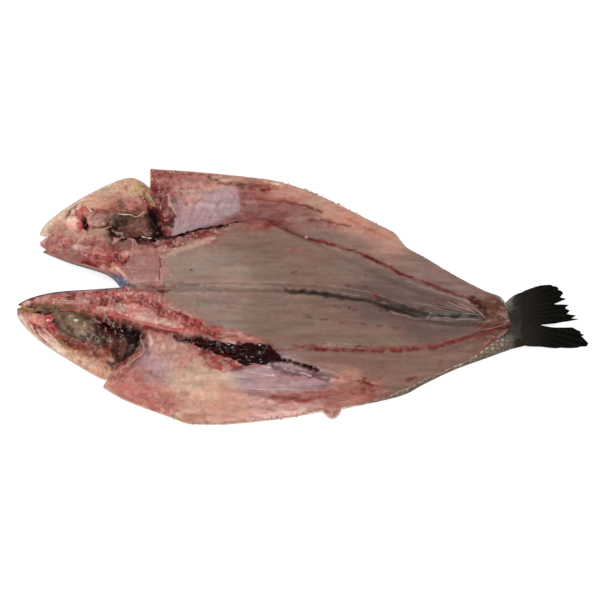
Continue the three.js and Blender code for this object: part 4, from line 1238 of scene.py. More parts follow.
def ring_faces(rings, sides):
    """Triangles over rows of rings, with a middle vertex at each end."""
    i, j = (a.ravel() for a in np.meshgrid(np.arange(rings - 1), np.arange(sides), indexing="ij"))
    a, b = i * sides + j, i * sides + (j + 1) % sides
    k = np.arange(sides)
    first, last = np.full(sides, rings * sides), np.full(sides, rings * sides + 1)
    end = (rings - 1) * sides
    return np.vstack([
        np.column_stack([a, b, a + sides]), np.column_stack([b, b + sides, a + sides]),
        np.column_stack([first, (k + 1) % sides, k]), np.column_stack([last, end + k, end + (k + 1) % sides]),
    ])


class Heap:
    """Closed shapes of tissue that lie on the cut face, gathered into one mesh."""

    def __init__(self, context, seed):
        self.size, self.tints = context.scene.fish_sizes, context.scene.flesh_colours
        self.random = np.random.default_rng(seed)
        self.rows, self.anchors, self.faces = [], [], []
        self.shades, self.wets, self.blends = [], [], []
        self.count = 0

    def add(self, rows, anchors, faces, shade, wet, blend=0.0):
        """Takes a shape: heights above the cut face at its anchors, and its share of the face's colour."""
        self.blends.append(np.full(len(rows), blend))
        self.rows.append(rows)
        self.anchors.append(anchors)
        self.faces.append(faces + self.count)
        self.shades.append(np.broadcast_to(shade, (len(rows), 3)))
        self.wets.append(np.broadcast_to(wet, len(rows)))
        self.count += len(rows)

    def tint(self, name):
        return np.clip(np.array(getattr(self.tints, name)) * (1 + self.random.normal(0, 0.12)), 0.002, 1)

    def strand(self, points, radius, lift, name, wet=0.7, sides=8, blend=0.3):
        """A tapering strand along a course."""
        path = evenly(smooth_path(points, per_point=5), max(0.4, radius * 0.9), False)
        n = len(path)
        along = np.gradient(path, axis=0)
        along /= np.linalg.norm(along, axis=1, keepdims=True) + 1e-9
        taper = 0.3 + 0.7 * np.sqrt(np.sin(math.pi * np.linspace(0.02, 0.98, n)))
        thick = radius * taper * (1 + 0.15 * self.random.normal(size=n))
        angle = np.arange(sides) * 2 * math.pi / sides
        side, up = thick[:, None] * np.cos(angle), lift + 0.8 * thick[:, None] * np.sin(angle)
        rings = np.dstack([path[:, :1] - along[:, 1:] * side, path[:, 1:] + along[:, :1] * side, up])
        ends = path[[0, -1]]
        rows = np.vstack([rings.reshape(-1, 3), np.column_stack([ends, [lift, lift]])])
        shade = self.tint(name) * (1 + 0.12 * self.random.normal(size=(len(rows), 1)))
        anchors = np.vstack([np.repeat(path, sides, 0), ends])
        self.add(rows, anchors, ring_faces(n, sides), np.clip(shade, 0.002, 1), wet, blend)

    def lump(self, at, half, turn, height, name, wet=0.7, rough=0.2, rings=6, sides=12, blend=0.0):
        """A rounded uneven lump, half sunk in the face."""
        tilt = (np.arange(rings) + 1) * math.pi / (rings + 1) - math.pi / 2
        angle = np.arange(sides) * 2 * math.pi / sides
        flat = np.cos(tilt)[:, None]
        high = np.repeat(np.sin(tilt)[:, None], sides, 1)
        ball = np.dstack([flat * np.cos(angle), flat * np.sin(angle), high]).reshape(-1, 3)
        ball = np.vstack([ball, [(0, 0, -1), (0, 0, 1)]])
        waves = ball @ self.random.normal(0, 2.2, (3, 4)) + self.random.uniform(0, 6, 4)
        out = ball * (1 + rough * np.sin(waves).sum(1) / 2)[:, None]
        u, v = out[:, 0] * half[0], out[:, 1] * half[1]
        c, s = math.cos(turn), math.sin(turn)
        rows = np.column_stack([at[0] + u * c - v * s, at[1] + u * s + v * c, out[:, 2] * height])
        self.add(rows, np.tile(at, (len(rows), 1)), ring_faces(rings, sides), self.tint(name), wet, blend)

    def cushion(self, points, height, border, folds):
        """A raised patch with an uneven dome, fine folds in a direction, painted lighter on their crests and
        darker between them, and a dark crease round it, painted as shade.
        """
        loop = anticlockwise(evenly(smooth_path(points, True, 6), 0.75))
        places, faces = triangulated([loop], filled(loop, [(FRONT, REAR, 0.8)], 0.4))
        x, y = places.T
        depth = np.maximum(0, depth_inside(loop, x, y))
        dome = height * np.sqrt(1 - (1 - np.minimum(1, depth / border)) ** 2)
        dome = dome * (1 + 0.45 * rough_noise(x, y, 5, 101, 2))
        turn = math.radians(folds)
        u = x * math.cos(turn) + y * math.sin(turn)
        v = y * math.cos(turn) - x * math.sin(turn)
        fold = rough_noise(u * 0.3, v, 2.6, 103, 3)
        shade, wet, rise = painted(x, y, self.tints)
        # Painted light and shade on the folds: lighter on their crests, darker between them
        shade = np.clip(shade * (1 + 0.25 * fold)[:, None], 0.002, 1)
        # Painted shade, tinted red, in the crease round the patch's border
        crease = min(1, max(0, 0.7 * (height - 0.9))) * ease(1 - depth / 1.6)
        shade = blended(shade, shade * FOLD_CREASE_SHADE, crease)
        top = dome + rise + 0.1 + 0.35 * math.sqrt(height) * fold * ease(depth / 1.5)
        rows = np.vstack([np.column_stack([x, y, top]), np.column_stack([x, y, np.minimum(top, 0) - 0.8])])
        faces = np.vstack([faces, faces[:, ::-1] + len(x), wall(0, len(x), len(loop))])
        wet = np.minimum(1, np.tile(wet, 2) + 0.2)
        self.add(rows, np.vstack([places, places]), faces, np.vstack([shade, shade]), wet)

    def band(self, course, half, count):
        """Seeded places spread over a band along a course, with the direction of the course there."""
        path = evenly(smooth_path(course), 0.5, False)
        at = self.random.integers(0, len(path) - 1, count)
        along = path[at + 1] - path[at]
        along /= np.linalg.norm(along, axis=1, keepdims=True) + 1e-9
        off = np.clip(self.random.normal(0, 0.5, count), -1, 1) * half
        off *= 0.5 + 0.5 * np.sin(math.pi * at / len(path))
        across = np.column_stack([-along[:, 1], along[:, 0]])
        return zip(path[at] + across * off[:, None], np.arctan2(along[:, 1], along[:, 0]))

    def fill(self, piece):
        """Adds all shapes of a piece from the lists."""
        for folds, height, border, points in CUSHIONS.get(piece, ()):
            self.cushion(points, height, border, folds)
        for name, radius, lift, points in STRANDS.get(piece, ()):
            self.strand(points, radius, lift, name)
        for names, count, reach, radius, half, course in SHREDS.get(piece, ()):
            for place, turn in self.band(course, half, count):
                self.shred(place, turn, names, reach, radius)

    def shred(self, place, turn, names, reach, radius):
        """One torn lump or strand of a band, in one of its tissues."""
        name, scale = self.random.choice(names), self.random.uniform(0.5, 1.2)
        turn += self.random.normal(0, 0.35)
        if reach < radius * 3 or self.random.uniform() < 0.6:
            half_size = (min(reach * 0.35, radius * 3) * scale, radius * 1.5 * scale)
            self.lump(place, half_size, turn, radius * scale, name, 0.45, 0.45, blend=0.6)
            return
        step = np.array([math.cos(turn), math.sin(turn)]) * reach * scale / 2
        bend = np.array([-step[1], step[0]]) * self.random.normal(0, 0.25)
        self.strand([place - step, place + bend, place + step], radius * scale, 0, name, 0.45, 6, 0.6)

    def piece(self, name, slot, material):
        """Makes the mesh: sets the shapes on the cut face and mixes in its colour as far as each asks."""
        rows, anchors, shades = np.vstack(self.rows), np.vstack(self.anchors), np.vstack(self.shades)
        rows[:, 2] += face_heights(anchors[:, 0], anchors[:, 1], self.size)[0]
        blend = np.concatenate(self.blends)
        mixed = np.flatnonzero(blend)
        if len(mixed):
            places, back = np.unique(anchors[mixed], axis=0, return_inverse=True)
            under, _, rise = painted(places[:, 0], places[:, 1], self.tints)
            shades[mixed] += (under[back.ravel()] - shades[mixed]) * blend[mixed, None]
            rows[mixed, 2] += rise[back.ravel()]
        mesh_piece(name, rows, np.vstack(self.faces), slot, material, shades, wet=np.concatenate(self.wets))


# Materials

def nodes_of(name):
    """A new material with its node tree and its shader."""
    material = bpy.data.materials.new(name)
    material.use_nodes = True
    tree = material.node_tree
    return material, tree, tree.nodes["Principled BSDF"]


def node(tree, kind, **settings):
    """A node with its settings, and links to it from the outputs among them."""
    made = tree.nodes.new(kind)
    for key, value in settings.items():
        if isinstance(value, bpy.types.NodeSocket):
            tree.links.new(value, made.inputs[key])
        elif key in made.inputs:
            made.inputs[key].default_value = value
        else:
            setattr(made, key, value)
    return made


def attribute(tree, name, output="Fac"):
    return node(tree, "ShaderNodeAttribute", attribute_name=name).outputs[output]


def stretched(tree, scale):
    """The place on the object, stretched along its axes."""
    place = node(tree, "ShaderNodeTexCoord").outputs["Object"]
    return node(tree, "ShaderNodeMapping", Vector=place, Scale=scale).outputs["Vector"]


def ranged(tree, value, **ends):
    """A value carried over from one range to another."""
    ends = {key.replace("_", " "): end for key, end in ends.items()}
    return node(tree, "ShaderNodeMapRange", Value=value, **ends).outputs["Result"]


def grained(tree, place, scale, detail, roughness):
    """Fine noise at a place."""
    made = node(tree, "ShaderNodeTexNoise", Vector=place, Scale=scale, Detail=detail, Roughness=roughness)
    return made.outputs["Fac"]


def weighted(tree, value, weight, more, **settings):
    """The value times a weight, plus one more."""
    made = node(tree, "ShaderNodeMath", operation="MULTIPLY_ADD", **settings)
    tree.links.new(value, made.inputs[0])
    made.inputs[1].default_value = weight
    tree.links.new(more, made.inputs[2])
    return made.outputs["Value"]


def painted_base(tree, shader, tone):
    """The painted colour times a tone as the shader's base colour. Gives the node that mixes them."""
    mix = node(tree, "ShaderNodeMix", data_type="RGBA", blend_type="MULTIPLY")
    tree.links.new(attribute(tree, "tissue", "Color"), mix.inputs[6])
    tree.links.new(tone, mix.inputs[7])
    tree.links.new(mix.outputs[2], shader.inputs["Base Color"])
    return mix


def bumped(tree, shader, height, strength, depth):
    """Small relief on the shader's surface."""
    bump = node(tree, "ShaderNodeBump", Height=height, Strength=strength, Distance=depth)
    tree.links.new(bump.outputs["Normal"], shader.inputs["Normal"])


def tissue_material(
        name, grain, bump_depth, scatter, coat, roughness, fibre=(1, 1, 1), contrast=0.06, shine=0.1):
    """Wet tissue: its painted colour under a fine grain, soft light through it, and gloss where it is wet."""
    material, tree, shader = nodes_of(name)
    place = stretched(tree, fibre)
    fine = grained(tree, place, 1 / grain, 4, 0.6)
    broad = grained(tree, place, 0.25 / grain, 3, 0.55)
    tone = ranged(tree, fine, From_Min=0.3, From_Max=0.7, To_Min=1 - contrast, To_Max=1 + contrast)
    painted_base(tree, shader, tone).inputs[0].default_value = 1
    wet = attribute(tree, "wet")
    rough = ranged(tree, wet, To_Min=roughness[0], To_Max=roughness[1])
    tree.links.new(weighted(tree, broad, 0.22, rough, use_clamp=True), shader.inputs["Roughness"])
    tree.links.new(ranged(tree, wet, To_Min=coat[0], To_Max=coat[1]), shader.inputs["Coat Weight"])
    shader.inputs["Coat Roughness"].default_value = 0.08
    shader.inputs["Specular IOR Level"].default_value = shine
    shader.inputs["Subsurface Weight"].default_value = scatter
    shader.inputs["Subsurface Radius"].default_value = (1.0, 0.4, 0.25)
    shader.inputs["Subsurface Scale"].default_value = 0.0015
    shader.inputs["IOR"].default_value = 1.4
    bumped(tree, shader, weighted(tree, fine, 0.6, broad), 0.6, bump_depth)
    return material


class FishSizes(bpy.types.PropertyGroup):
    spot_reach: length("Spot Reach", "How far each measured height of the cut face acts", 19)
    flap_step: length("Flap Step", "Width of the step between a loin and its belly flap", 9)
    shoulder: length("Shoulder", "Width of the rounding along the edge", 7)
    rim_share: factor("Rim Share", "Height of the rim as a share of the height inside it", 0.62)
    skin_lift: factor("Skin Lift", "How far the skin side rises at the edge, as a share of the height", 0.34)
    bilge: factor("Bilge", "Width of the rising skin side as a share of the height", 0.85)
    fin_root: length("Fin Root Thickness", "Thickness of the tail fin at its root", 3.2)
    fin_tip: length("Fin Tip Thickness", "Thickness of the tail fin at its tips", 1.2)
    head_grain: length("Head Mesh Spacing", "Distance between mesh points on the cut head", 0.74)
    body_grain: length("Body Mesh Spacing", "Distance between mesh points on the cut body", 1.12)
    skin_grain: length("Skin Mesh Spacing", "Distance between mesh points on the skin side", 1.7)
    skin_thickness: length("Skin Thickness", "Thickness of the skin", 0.9)


class FleshColours(bpy.types.PropertyGroup):
    loin_pale: colour("Pale Loin", "Loin flesh behind the head", "8b756a")
    loin: colour("Loin", "Loin flesh at mid body", "7a6156")
    loin_rear: colour("Rear Loin", "Loin flesh near the tail", "64524b")
    flap_flesh: colour("Flap Flesh", "Flesh outside the far blood line", "84685f")
    side_dark: colour("Dark Side", "Flesh outside the near blood line", "7b5e54")
    nape: colour("Nape", "Flesh behind the skull", "946a64")
    rose: colour("Rose", "Rosy thin flesh", "8a4e46")
    mauve: colour("Mauve", "Greyish mauve thin flesh", "875c58")
    raw_red: colour("Raw Red", "Torn, blood-stained flesh", "701c1d")
    raw_pink: colour("Raw Pink", "Torn pink flesh", "9a443f")
    blood: colour("Blood", "Dark blood", "3c090b")
    blood_line: colour("Blood Line", "Blood line of the far half", "671f1e")
    near_line: colour("Near Blood Line", "Short marks of the near blood line", "6c2523")
    clot: colour("Clot", "Clotted blood", "200407")
    lilac: colour("Lilac Membrane", "Thin lining of the belly", "a68a8d")
    # Painted sheen on the linings, and pale grey-white tissue of the lips and gills
    lilac_light: colour("Light Membrane", "Glossy light part of a lining", "bdaaaa")
    speckled: colour("Speckled Lining", "Grey-white lining of the near flap", "a98072")
    purple: colour("Purple", "Purple shade in a fold", "5a3e43")
    pink: colour("Pink", "Pink flesh", "ac7167")
    pale_pink: colour("Pale Pink", "Light pink flesh", "c2968b")
    bone_pink: colour("Pink Bone", "Pink bone and its flesh", "ab6058")
    skull: colour("Skull", "Pinkish cut face of the skull", "96635c")
    cream: colour("Cream", "Cream-coloured tissue", "cda98d")
    milk: colour("Milk White", "Near-white tissue", "e4c9b8")
    tan: colour("Tan", "Tan lining", "c6a48d")
    tan_dull: colour("Dull Tan", "Dull tan bone", "85574b")
    # Also painted as the sheen in the middle of the mouth lining
    cartilage: colour("Cartilage", "Grey-tan cartilage of the lips", "8f7d68")
    peach: colour("Peach", "Peach-coloured fat and flesh", "ba8d7b")
    orange: colour("Orange", "Orange-stained fat", "9a5a3c")
    yellow_fat: colour("Yellow Fat", "Pale yellow fat", "b99a6e")
    fat: colour("Fat", "Pale fat along the edges", "cda897")
    coral: colour("Coral", "Fresh red of the gill arch and the root of the tongue", "a93038")
    mustard: colour("Mustard", "Yellow-brown lining at the lips", "86672f")
    rim: colour("Rim Fat", "Whitish rim of the head and the flaps", "e3d0b8")
    silver: colour("Silver Blue", "Silver-blue skin that shows where the heads part", "62647c")
    rust: colour("Rust", "Rust-brown stain", "72311a")
    fascia: colour("Fascia", "Light sheet over the muscle", "b99989")
    muscle: colour("Muscle", "Brown muscle in the gill chamber", "6d463a")
    tongue: colour("Tongue", "Pale tongue and its red base", "c88a79")
    olive: colour("Olive Lining", "Olive lining of the mouth", "6f5b43")
    olive_dark: colour("Dark Olive", "Dark olive lining", "443122")
    # Painted shade: in the gill chambers, and also in slits, gaps and small holes
    cavity: colour("Cavity", "Deep shade of the gill chambers", "1c0807")
    seam: colour("Seam", "Grey line of the back seam", "625750")
    steel: colour("Steel Grey", "Blue-grey inner skin at the seam", "57534f")
    skin_dark: colour("Dark Skin", "Dark scaled skin that shows at the seam", "39312a")
    skin_black: colour("Black Skin", "Blackest skin at the seam", "211d19")
    pale_line: colour("Pale Line", "Pale cut edge of the skin", "97837b")
    flesh_line: colour("Flesh Line", "Faint darker line in the loin", "695148")
    dash: colour("Dash", "Short dark marks in the near loin", "593c33")


class SkinColours(bpy.types.PropertyGroup):
    back: colour("Back", "Dark skin of the back", "37342e")
    side: colour("Side", "Silver-grey skin of the side", "8d8a84")
    belly: colour("Belly", "Whitish skin of the belly", "c9bfb4")
    forehead: colour("Forehead", "Dark edge of the forehead skin", "2f2a2c")
    silver: colour("Silver Blue", "Silver-blue skin behind the forehead", "6e7088")
    scales: colour("Tail Scales", "Beige scales that show beside the tail", "7e6d5d")
    lip: colour("Cut Edge", "Pale cut edge of the skin", "c9a899")
    iris: colour("Iris", "Brassy ring of the eye", "b09a68")
    pupil: colour("Pupil", "Black middle of the eye", "08080a")
    fin_dark: colour("Fin", "Black web of the tail fin", "0a0a06")
    fin_root: colour("Fin Root", "Dark brown scaled root of the tail fin", "25201a")


class StageLook(bpy.types.PropertyGroup):
    floor: colour("Floor", "Colour of the floor", "fcfcfc")
    azimuth: angle("Azimuth", "Direction of the camera", 0)
    elevation: angle("Elevation", "Camera angle above the horizon", 76)
    distance: FloatProperty(name="Distance", description="Distance of the camera", unit="LENGTH", default=1.3)
    focal: FloatProperty(name="Focal Length", description="Of the camera, in millimetres", default=93.28)
    glow: factor("Floor Glow", "How far the floor glows, as a light table", 0.8)
    key: FloatProperty(name="Key Light", description="Power of the key light, in watts", default=13.8)
    sky: FloatProperty(name="Sky Light", description="Strength of the even light", default=0.6)


class FISH_OT_flesh(bpy.types.Operator):
    """Builds the cut flesh of both halves: head, loins and belly flaps"""
    bl_idname = "fish.flesh"
    bl_label = "Cut Flesh"

    def execute(self, context):
        size, tints = context.scene.fish_sizes, context.scene.flesh_colours
        loop = anticlockwise(flesh_loop(FLESH_STEP))
        loop, fits = drawn_in(loop, np.full(len(loop), -0.25))
        loop = loop[fits]
        inner = filled(loop, [(FRONT, NECK, size.head_grain / MM), (NECK, REAR, size.body_grain / MM)])
        points, top_faces = triangulated([loop], inner)
        x, y = points.T
        shade, wet, rise = painted(x, y, tints)
        top, bottom = face_heights(x, y, size)
        top = top - 0.1 + rise * ease(nearest(closed_path(loop)[::2], x, y)[0] / 2.5)
        top = np.maximum(top, bottom + size.skin_thickness / MM + 1)
        floor_points, floor_faces = triangulated([loop], filled(loop, [(FRONT, REAR, FLOOR_GRAIN)], 0.1))
        fx, fy = floor_points.T
        floor = face_heights(fx, fy, size)[1] + size.skin_thickness / MM * 0.6
        count, above = len(loop), len(points)
        vertices = np.vstack([np.column_stack([x, y, top]), np.column_stack([fx, fy, floor])])
        faces = np.vstack([top_faces, floor_faces[:, ::-1] + above, wall(0, above, count)])
        shade = np.vstack([shade, np.tile(tints.pink, (len(fx), 1))])
        wet = np.concatenate([wet, np.full(len(fx), 0.3)])
        material = tissue_material("wet flesh", 0.0011, 0.0004, 0.15, (0, 0.6), (0.5, 0.3), (0.35, 1, 1), 0.1)
        mesh_piece("cut_flesh", vertices, faces, "flesh", material, shade, wet=wet)
        return {"FINISHED"}


class FISH_OT_skin(bpy.types.Operator):
    """Builds the skin under the fish, its turned-up edge and the scaled root of the tail"""
    bl_idname = "fish.skin"
    bl_label = "Skin"

    def execute(self, context):
        size = context.scene.fish_sizes
        outer = anticlockwise(skin_loop(SKIN_STEP))
        cut = anticlockwise(flesh_loop(FLESH_STEP))
        band = filled(outer, [(FRONT, REAR, EDGE_GRAIN)], 0.5)
        widest = 45
        band = band[nearest(closed_path(outer)[::3], *band.T)[0] < widest]
        band = band[depth_inside(cut, *band.T) < -0.5]
        top_points, top_faces = triangulated([outer, cut], band)
        grain = size.skin_grain / MM
        inner = filled(outer, [(FRONT, GILL_COVERS, grain * 0.65), (GILL_COVERS, REAR, grain)], 0.5)
        under_points, under_faces = triangulated([outer], inner)
        floor_points, floor_faces = triangulated([cut], filled(cut, [(FRONT, REAR, FLOOR_GRAIN)], 0.1))
        tx, ty = top_points.T
        ux, uy = under_points.T
        fx, fy = floor_points.T
        top = face_heights(tx, ty, size)[0]
        outward = np.maximum(0, -depth_inside(cut, tx, ty))
        top = top + 0.12 + 0.25 * ease(outward / 0.6) * ease((3 - outward) / 3)
        top = top - 1.3 * ease((tx - SKIN_END - 2.5 * rough_noise(tx, ty, 6, 83)) / 7)
        groove, eye = side_marks(ux, uy)
        under = face_heights(ux, uy, size)[1] + 0.5 * groove + 0.6 * ease(1 - np.abs(eye - EYE_RIM) / 1.6)
        n = len(outer)
        levels = (1, 0.72, 0.38, 0, 0)
        rings = [
            np.column_stack([inward(outer, np.full(n, inset)), under[:n] + (top[:n] - under[:n]) * share])
            for share, inset in zip(levels, (0.14, 0, 0))
        ]
        low = np.column_stack([under_points, under])
        low[:n, :2] = inward(outer, np.full(n, 0.25))
        top_rows = np.column_stack([tx, ty, top])
        top_rows[:n] = rings[0]
        floor = np.column_stack([fx, fy, face_heights(fx, fy, size)[1] + size.skin_thickness / MM])
        blocks = [top_rows, rings[1], rings[2], low, floor]
        starts = np.concatenate([[0], np.cumsum([len(b) for b in blocks])])
        m = len(cut)
        faces = np.vstack([
            top_faces, wall(0, starts[1], n), wall(starts[1], starts[2], n), wall(starts[2], starts[3], n),
            under_faces[:, ::-1] + starts[3], floor_faces + starts[4], wall(starts[4], n, m),
        ])
        vertices = np.vstack(blocks)
        x, y = vertices[:, 0], vertices[:, 1]
        level = np.concatenate([np.full(len(b), share) for b, share in zip(blocks, levels)])
        shade, scaled = skin_paint(x, y, level, cut, context)
        mesh_piece("skin", vertices, faces, "skin", skin_material("scaled skin"), shade, scaled=scaled)
        return {"FINISHED"}


def side_marks(x, y):
    """Depth of the lines on the skin side at each place, and its distance to the nearer eye."""
    groove = np.zeros(len(x))
    for half, course in SIDE_LINES:
        gap, _ = nearest(smooth_path(course), x, y)
        groove = np.maximum(groove, ease(1.5 - gap / half) * min(1, half / 0.8))
    eye = np.min([np.hypot(x - ex, y - ey) for ex, ey in EYES], 0)
    return groove, eye


def skin_paint(x, y, level, cut, context):
    """Colour of the skin by its level and its distance from back, edge and cut, and where scales show."""
    tints, flesh = context.scene.skin_colours, context.scene.flesh_colours
    edge_gap, _ = nearest(closed_path(EDGE), x, y)
    back_gap, _ = nearest(smooth_path(RIDGES[0][2]), x, y)
    head_gap, _ = nearest(smooth_path(FOREHEADS), x, y)
    back_gap = np.minimum(back_gap, head_gap * 1.2)
    waver = rough_noise(x, y, 12, 81) * 4
    share = ease((back_gap + waver - 8) / 26)
    shade = blended(np.tile(tints.back, (len(x), 1)), tints.side, share)
    shade = blended(shade, tints.belly, ease(1 - (edge_gap + waver - 2) / 14) * share ** 0.5)
    rear = ease((x - SCALES_START) / 30)
    shade = blended(shade, tints.scales, 0.9 * rear * ease(1 - (edge_gap - 6) / 6) * (y < -30))
    stem = ease((x - STEM_START + 3 * rough_noise(x, y, 7, 82)) / 14)
    shade = blended(shade, tints.fin_root, stem)
    forehead = ease(1 - head_gap / 9) * ease((FOREHEAD_END - x) / 6) * (y > -14)
    shade = blended(shade, tints.forehead, 0.95 * forehead)
    corner = forehead * ease(1.7 - np.hypot(x - CORNER[0], y - CORNER[1]) / 8)
    # The silver-blue skin varies at random in brightness: partly its own uneven tone, partly painted glints
    glints_and_tone = 1 + 0.9 * rough_noise(x + y, x - y, 3, 84)
    shade = blended(shade, np.array(tints.silver) * glints_and_tone[:, None], corner)
    thin = forehead * (1 - corner) * ease((level - 0.8) / 0.15) * ease((y - 8) / 5)
    shade = blended(shade, flesh.skull, thin)
    lip = ease(1.5 - edge_gap / 2) * (1 - rear) * (1 - forehead)
    shade = blended(shade, tints.lip, lip)
    cut_gap, _ = nearest(closed_path(cut)[::2], x, y)
    pale = 0.8 * ease(1.3 - cut_gap / 0.8 + 0.8 * rough_noise(x, y, 5, 87)) * rear * ease((168 - x) / 20)
    shade = blended(shade, tints.lip, pale)
    shade = shade * (1 + 0.3 * rough_noise(x, y, 4, 85))[:, None]
    groove, eye = side_marks(x, y)
    below = level < 0.2
    shade = shade * (1 - 0.55 * groove * below)[:, None]
    for reach, tint in ((EYE_SKIN, tints.back), (EYE_IRIS, tints.iris), (EYE_PUPIL, tints.pupil)):
        shade = blended(shade, tint, below * ease((reach - eye) / 0.8))
    return np.clip(shade, 0.002, 1), ease((x + 150) / 20) * (1 - lip) * (1 - 0.75 * stem)


def skin_material(name):
    """Skin: its painted colour darkened between the scales, where there are scales."""
    material, tree, shader = nodes_of(name)
    scales = node(
        tree, "ShaderNodeTexVoronoi", feature="DISTANCE_TO_EDGE", Vector=stretched(tree, (1, 1.25, 0.4)),
        Scale=230, Randomness=0.3)
    edge = ranged(tree, scales.outputs["Distance"], From_Max=0.3, To_Min=0.35, To_Max=1.3)
    tree.links.new(attribute(tree, "scaled"), painted_base(tree, shader, edge).inputs[0])
    bumped(tree, shader, edge, 0.5, 0.0004)
    shader.inputs["Roughness"].default_value = 0.4
    shader.inputs["Specular IOR Level"].default_value = 0.08
    shader.inputs["Coat Weight"].default_value = 0.05
    shader.inputs["Coat Roughness"].default_value = 0.12
    return material


class FISH_OT_fin(bpy.types.Operator):
    """Builds the tail fin with its rays and frayed tips"""
    bl_idname = "fish.fin"
    bl_label = "Tail Fin"

    def execute(self, context):
        size, tints = context.scene.fish_sizes, context.scene.skin_colours
        loop = anticlockwise(evenly(joined(FIN_OUTLINE), FIN_STEP))
        out = loop - FAN_CENTRE
        tooth = np.abs(np.arctan2(out[:, 1], out[:, 0]) * TEETH % 2 - 1) ** 2
        tooth *= 1.2 + rough_noise(*loop.T, 9, 93)
        out /= np.linalg.norm(out, axis=1, keepdims=True)
        loop = loop - out * (1.6 * tooth * ease((loop[:, 0] - TIPS_START) / 7))[:, None]
        points, faces = triangulated([loop], filled(loop, [(FRONT, REAR, FIN_GRAIN)], 0.5))
        x, y = points.T
        plain = plain_height(x, y, size)
        bearing = np.arctan2(y - FAN_CENTRE[1], x - FAN_CENTRE[0])
        ray = np.abs(np.sin(bearing * RAYS + 0.5 * noise(x, y, 12, 91)))
        lift = 0.5 * ray ** 0.7 * ease((x - RAYS_START) / 14)
        depth = np.maximum(0, depth_inside(loop, x, y))
        top = plain - 0.35 + lift * ease(depth / 1.2) - 0.3 * (1 - ease(depth)) - 2 * ease((184 - x) / 3)
        under = np.minimum(np.maximum(0, plain - fin_thickness(x, size)) + 0.15, top - 0.5)
        n = len(points)
        vertices = np.vstack([np.column_stack([x, y, top]), np.column_stack([x, y, under])])
        shade = np.array(tints.fin_dark) * (0.5 + ray[:, None])
        root = ease((212 - x + 4 * rough_noise(x, y, 8, 95)) / 30)
        shade = blended(shade, np.array(tints.fin_root) * (0.7 + 0.3 * ray[:, None]), root)
        shade = np.vstack([shade, shade])
        all_faces = np.vstack([faces, faces[:, ::-1] + n, wall(0, n, len(loop))])
        material = tissue_material(
            "fin web", 0.0012, 0.0002, 0, (0, 0.02), (0.65, 0.5), (0.3, 1, 1), contrast=0.3, shine=0.03)
        mesh_piece("tail_fin", vertices, all_faces, "fin", material, shade, wet=np.full(2 * n, 0.5))
        return {"FINISHED"}


class FISH_OT_blood(bpy.types.Operator):
    """Builds the clotted blood under the backbone, in the gill chambers and along the far cut"""
    bl_idname = "fish.blood"
    bl_label = "Blood Clots"

    def execute(self, context):
        heap = Heap(context, 5)
        for count, size, half, course in CLOTS:
            for place, turn in heap.band(course, half, count):
                scale = size * heap.random.uniform(0.45, 1)
                name = heap.random.choice(["clot"] * 7 + ["blood"])
                half_size = (scale * heap.random.uniform(1.1, 1.8), scale * 0.85)
                wet = heap.random.choice([0, 0, 0.1, 0.1, 1])
                heap.lump(place, half_size, turn, scale * 0.38, name, wet, 0.3, 8, 16)
        material = tissue_material("clotted blood", 0.0012, 0.0006, 0, (0, 0.8), (0.5, 0.1), shine=0.05)
        heap.piece("blood_clots", "blood", material)
        return {"FINISHED"}


class FISH_OT_bones(bpy.types.Operator):
    """Builds the bones that show: back fin supports, skull and jaw edges, collar and backbone"""
    bl_idname = "fish.bones"
    bl_label = "Bones"

    def execute(self, context):
        heap = Heap(context, 9)
        heap.fill("bones")
        material = tissue_material("wet bone", 0.0012, 0.0001, 0.12, (0.1, 0.5), (0.45, 0.35))
        heap.piece("bones", "bone", material)
        return {"FINISHED"}


class FISH_OT_linings(bpy.types.Operator):
    """Builds the raised tissue of the head, the mouth lining and the linings of the belly flaps"""
    bl_idname = "fish.linings"
    bl_label = "Head Tissue and Linings"

    def execute(self, context):
        for piece, name, depth, coat, roughness in (
                ("gill_tissue", "wet gill tissue", 0.0004, (0.1, 0.8), (0.45, 0.35)),
                ("mouth_lining", "mouth lining", 0.0004, (0.1, 0.7), (0.45, 0.35)),
                ("belly_lining", "belly lining", 0.0004, (0.1, 0.8), (0.42, 0.35))):
            heap = Heap(context, 13)
            heap.fill(piece)
            heap.piece(piece, "flesh", tissue_material(name, 0.0012, depth, 0.12, coat, roughness))
        return {"FINISHED"}


class FISH_OT_shreds(bpy.types.Operator):
    """Builds the torn strands and fat along the cuts and the edges of the flaps"""
    bl_idname = "fish.shreds"
    bl_label = "Torn Strands"

    def execute(self, context):
        heap = Heap(context, 17)
        heap.fill("shreds")
        material = tissue_material("torn flesh", 0.0012, 0.0003, 0.12, (0.05, 0.6), (0.5, 0.4))
        heap.piece("shreds", "flesh", material)
        return {"FINISHED"}


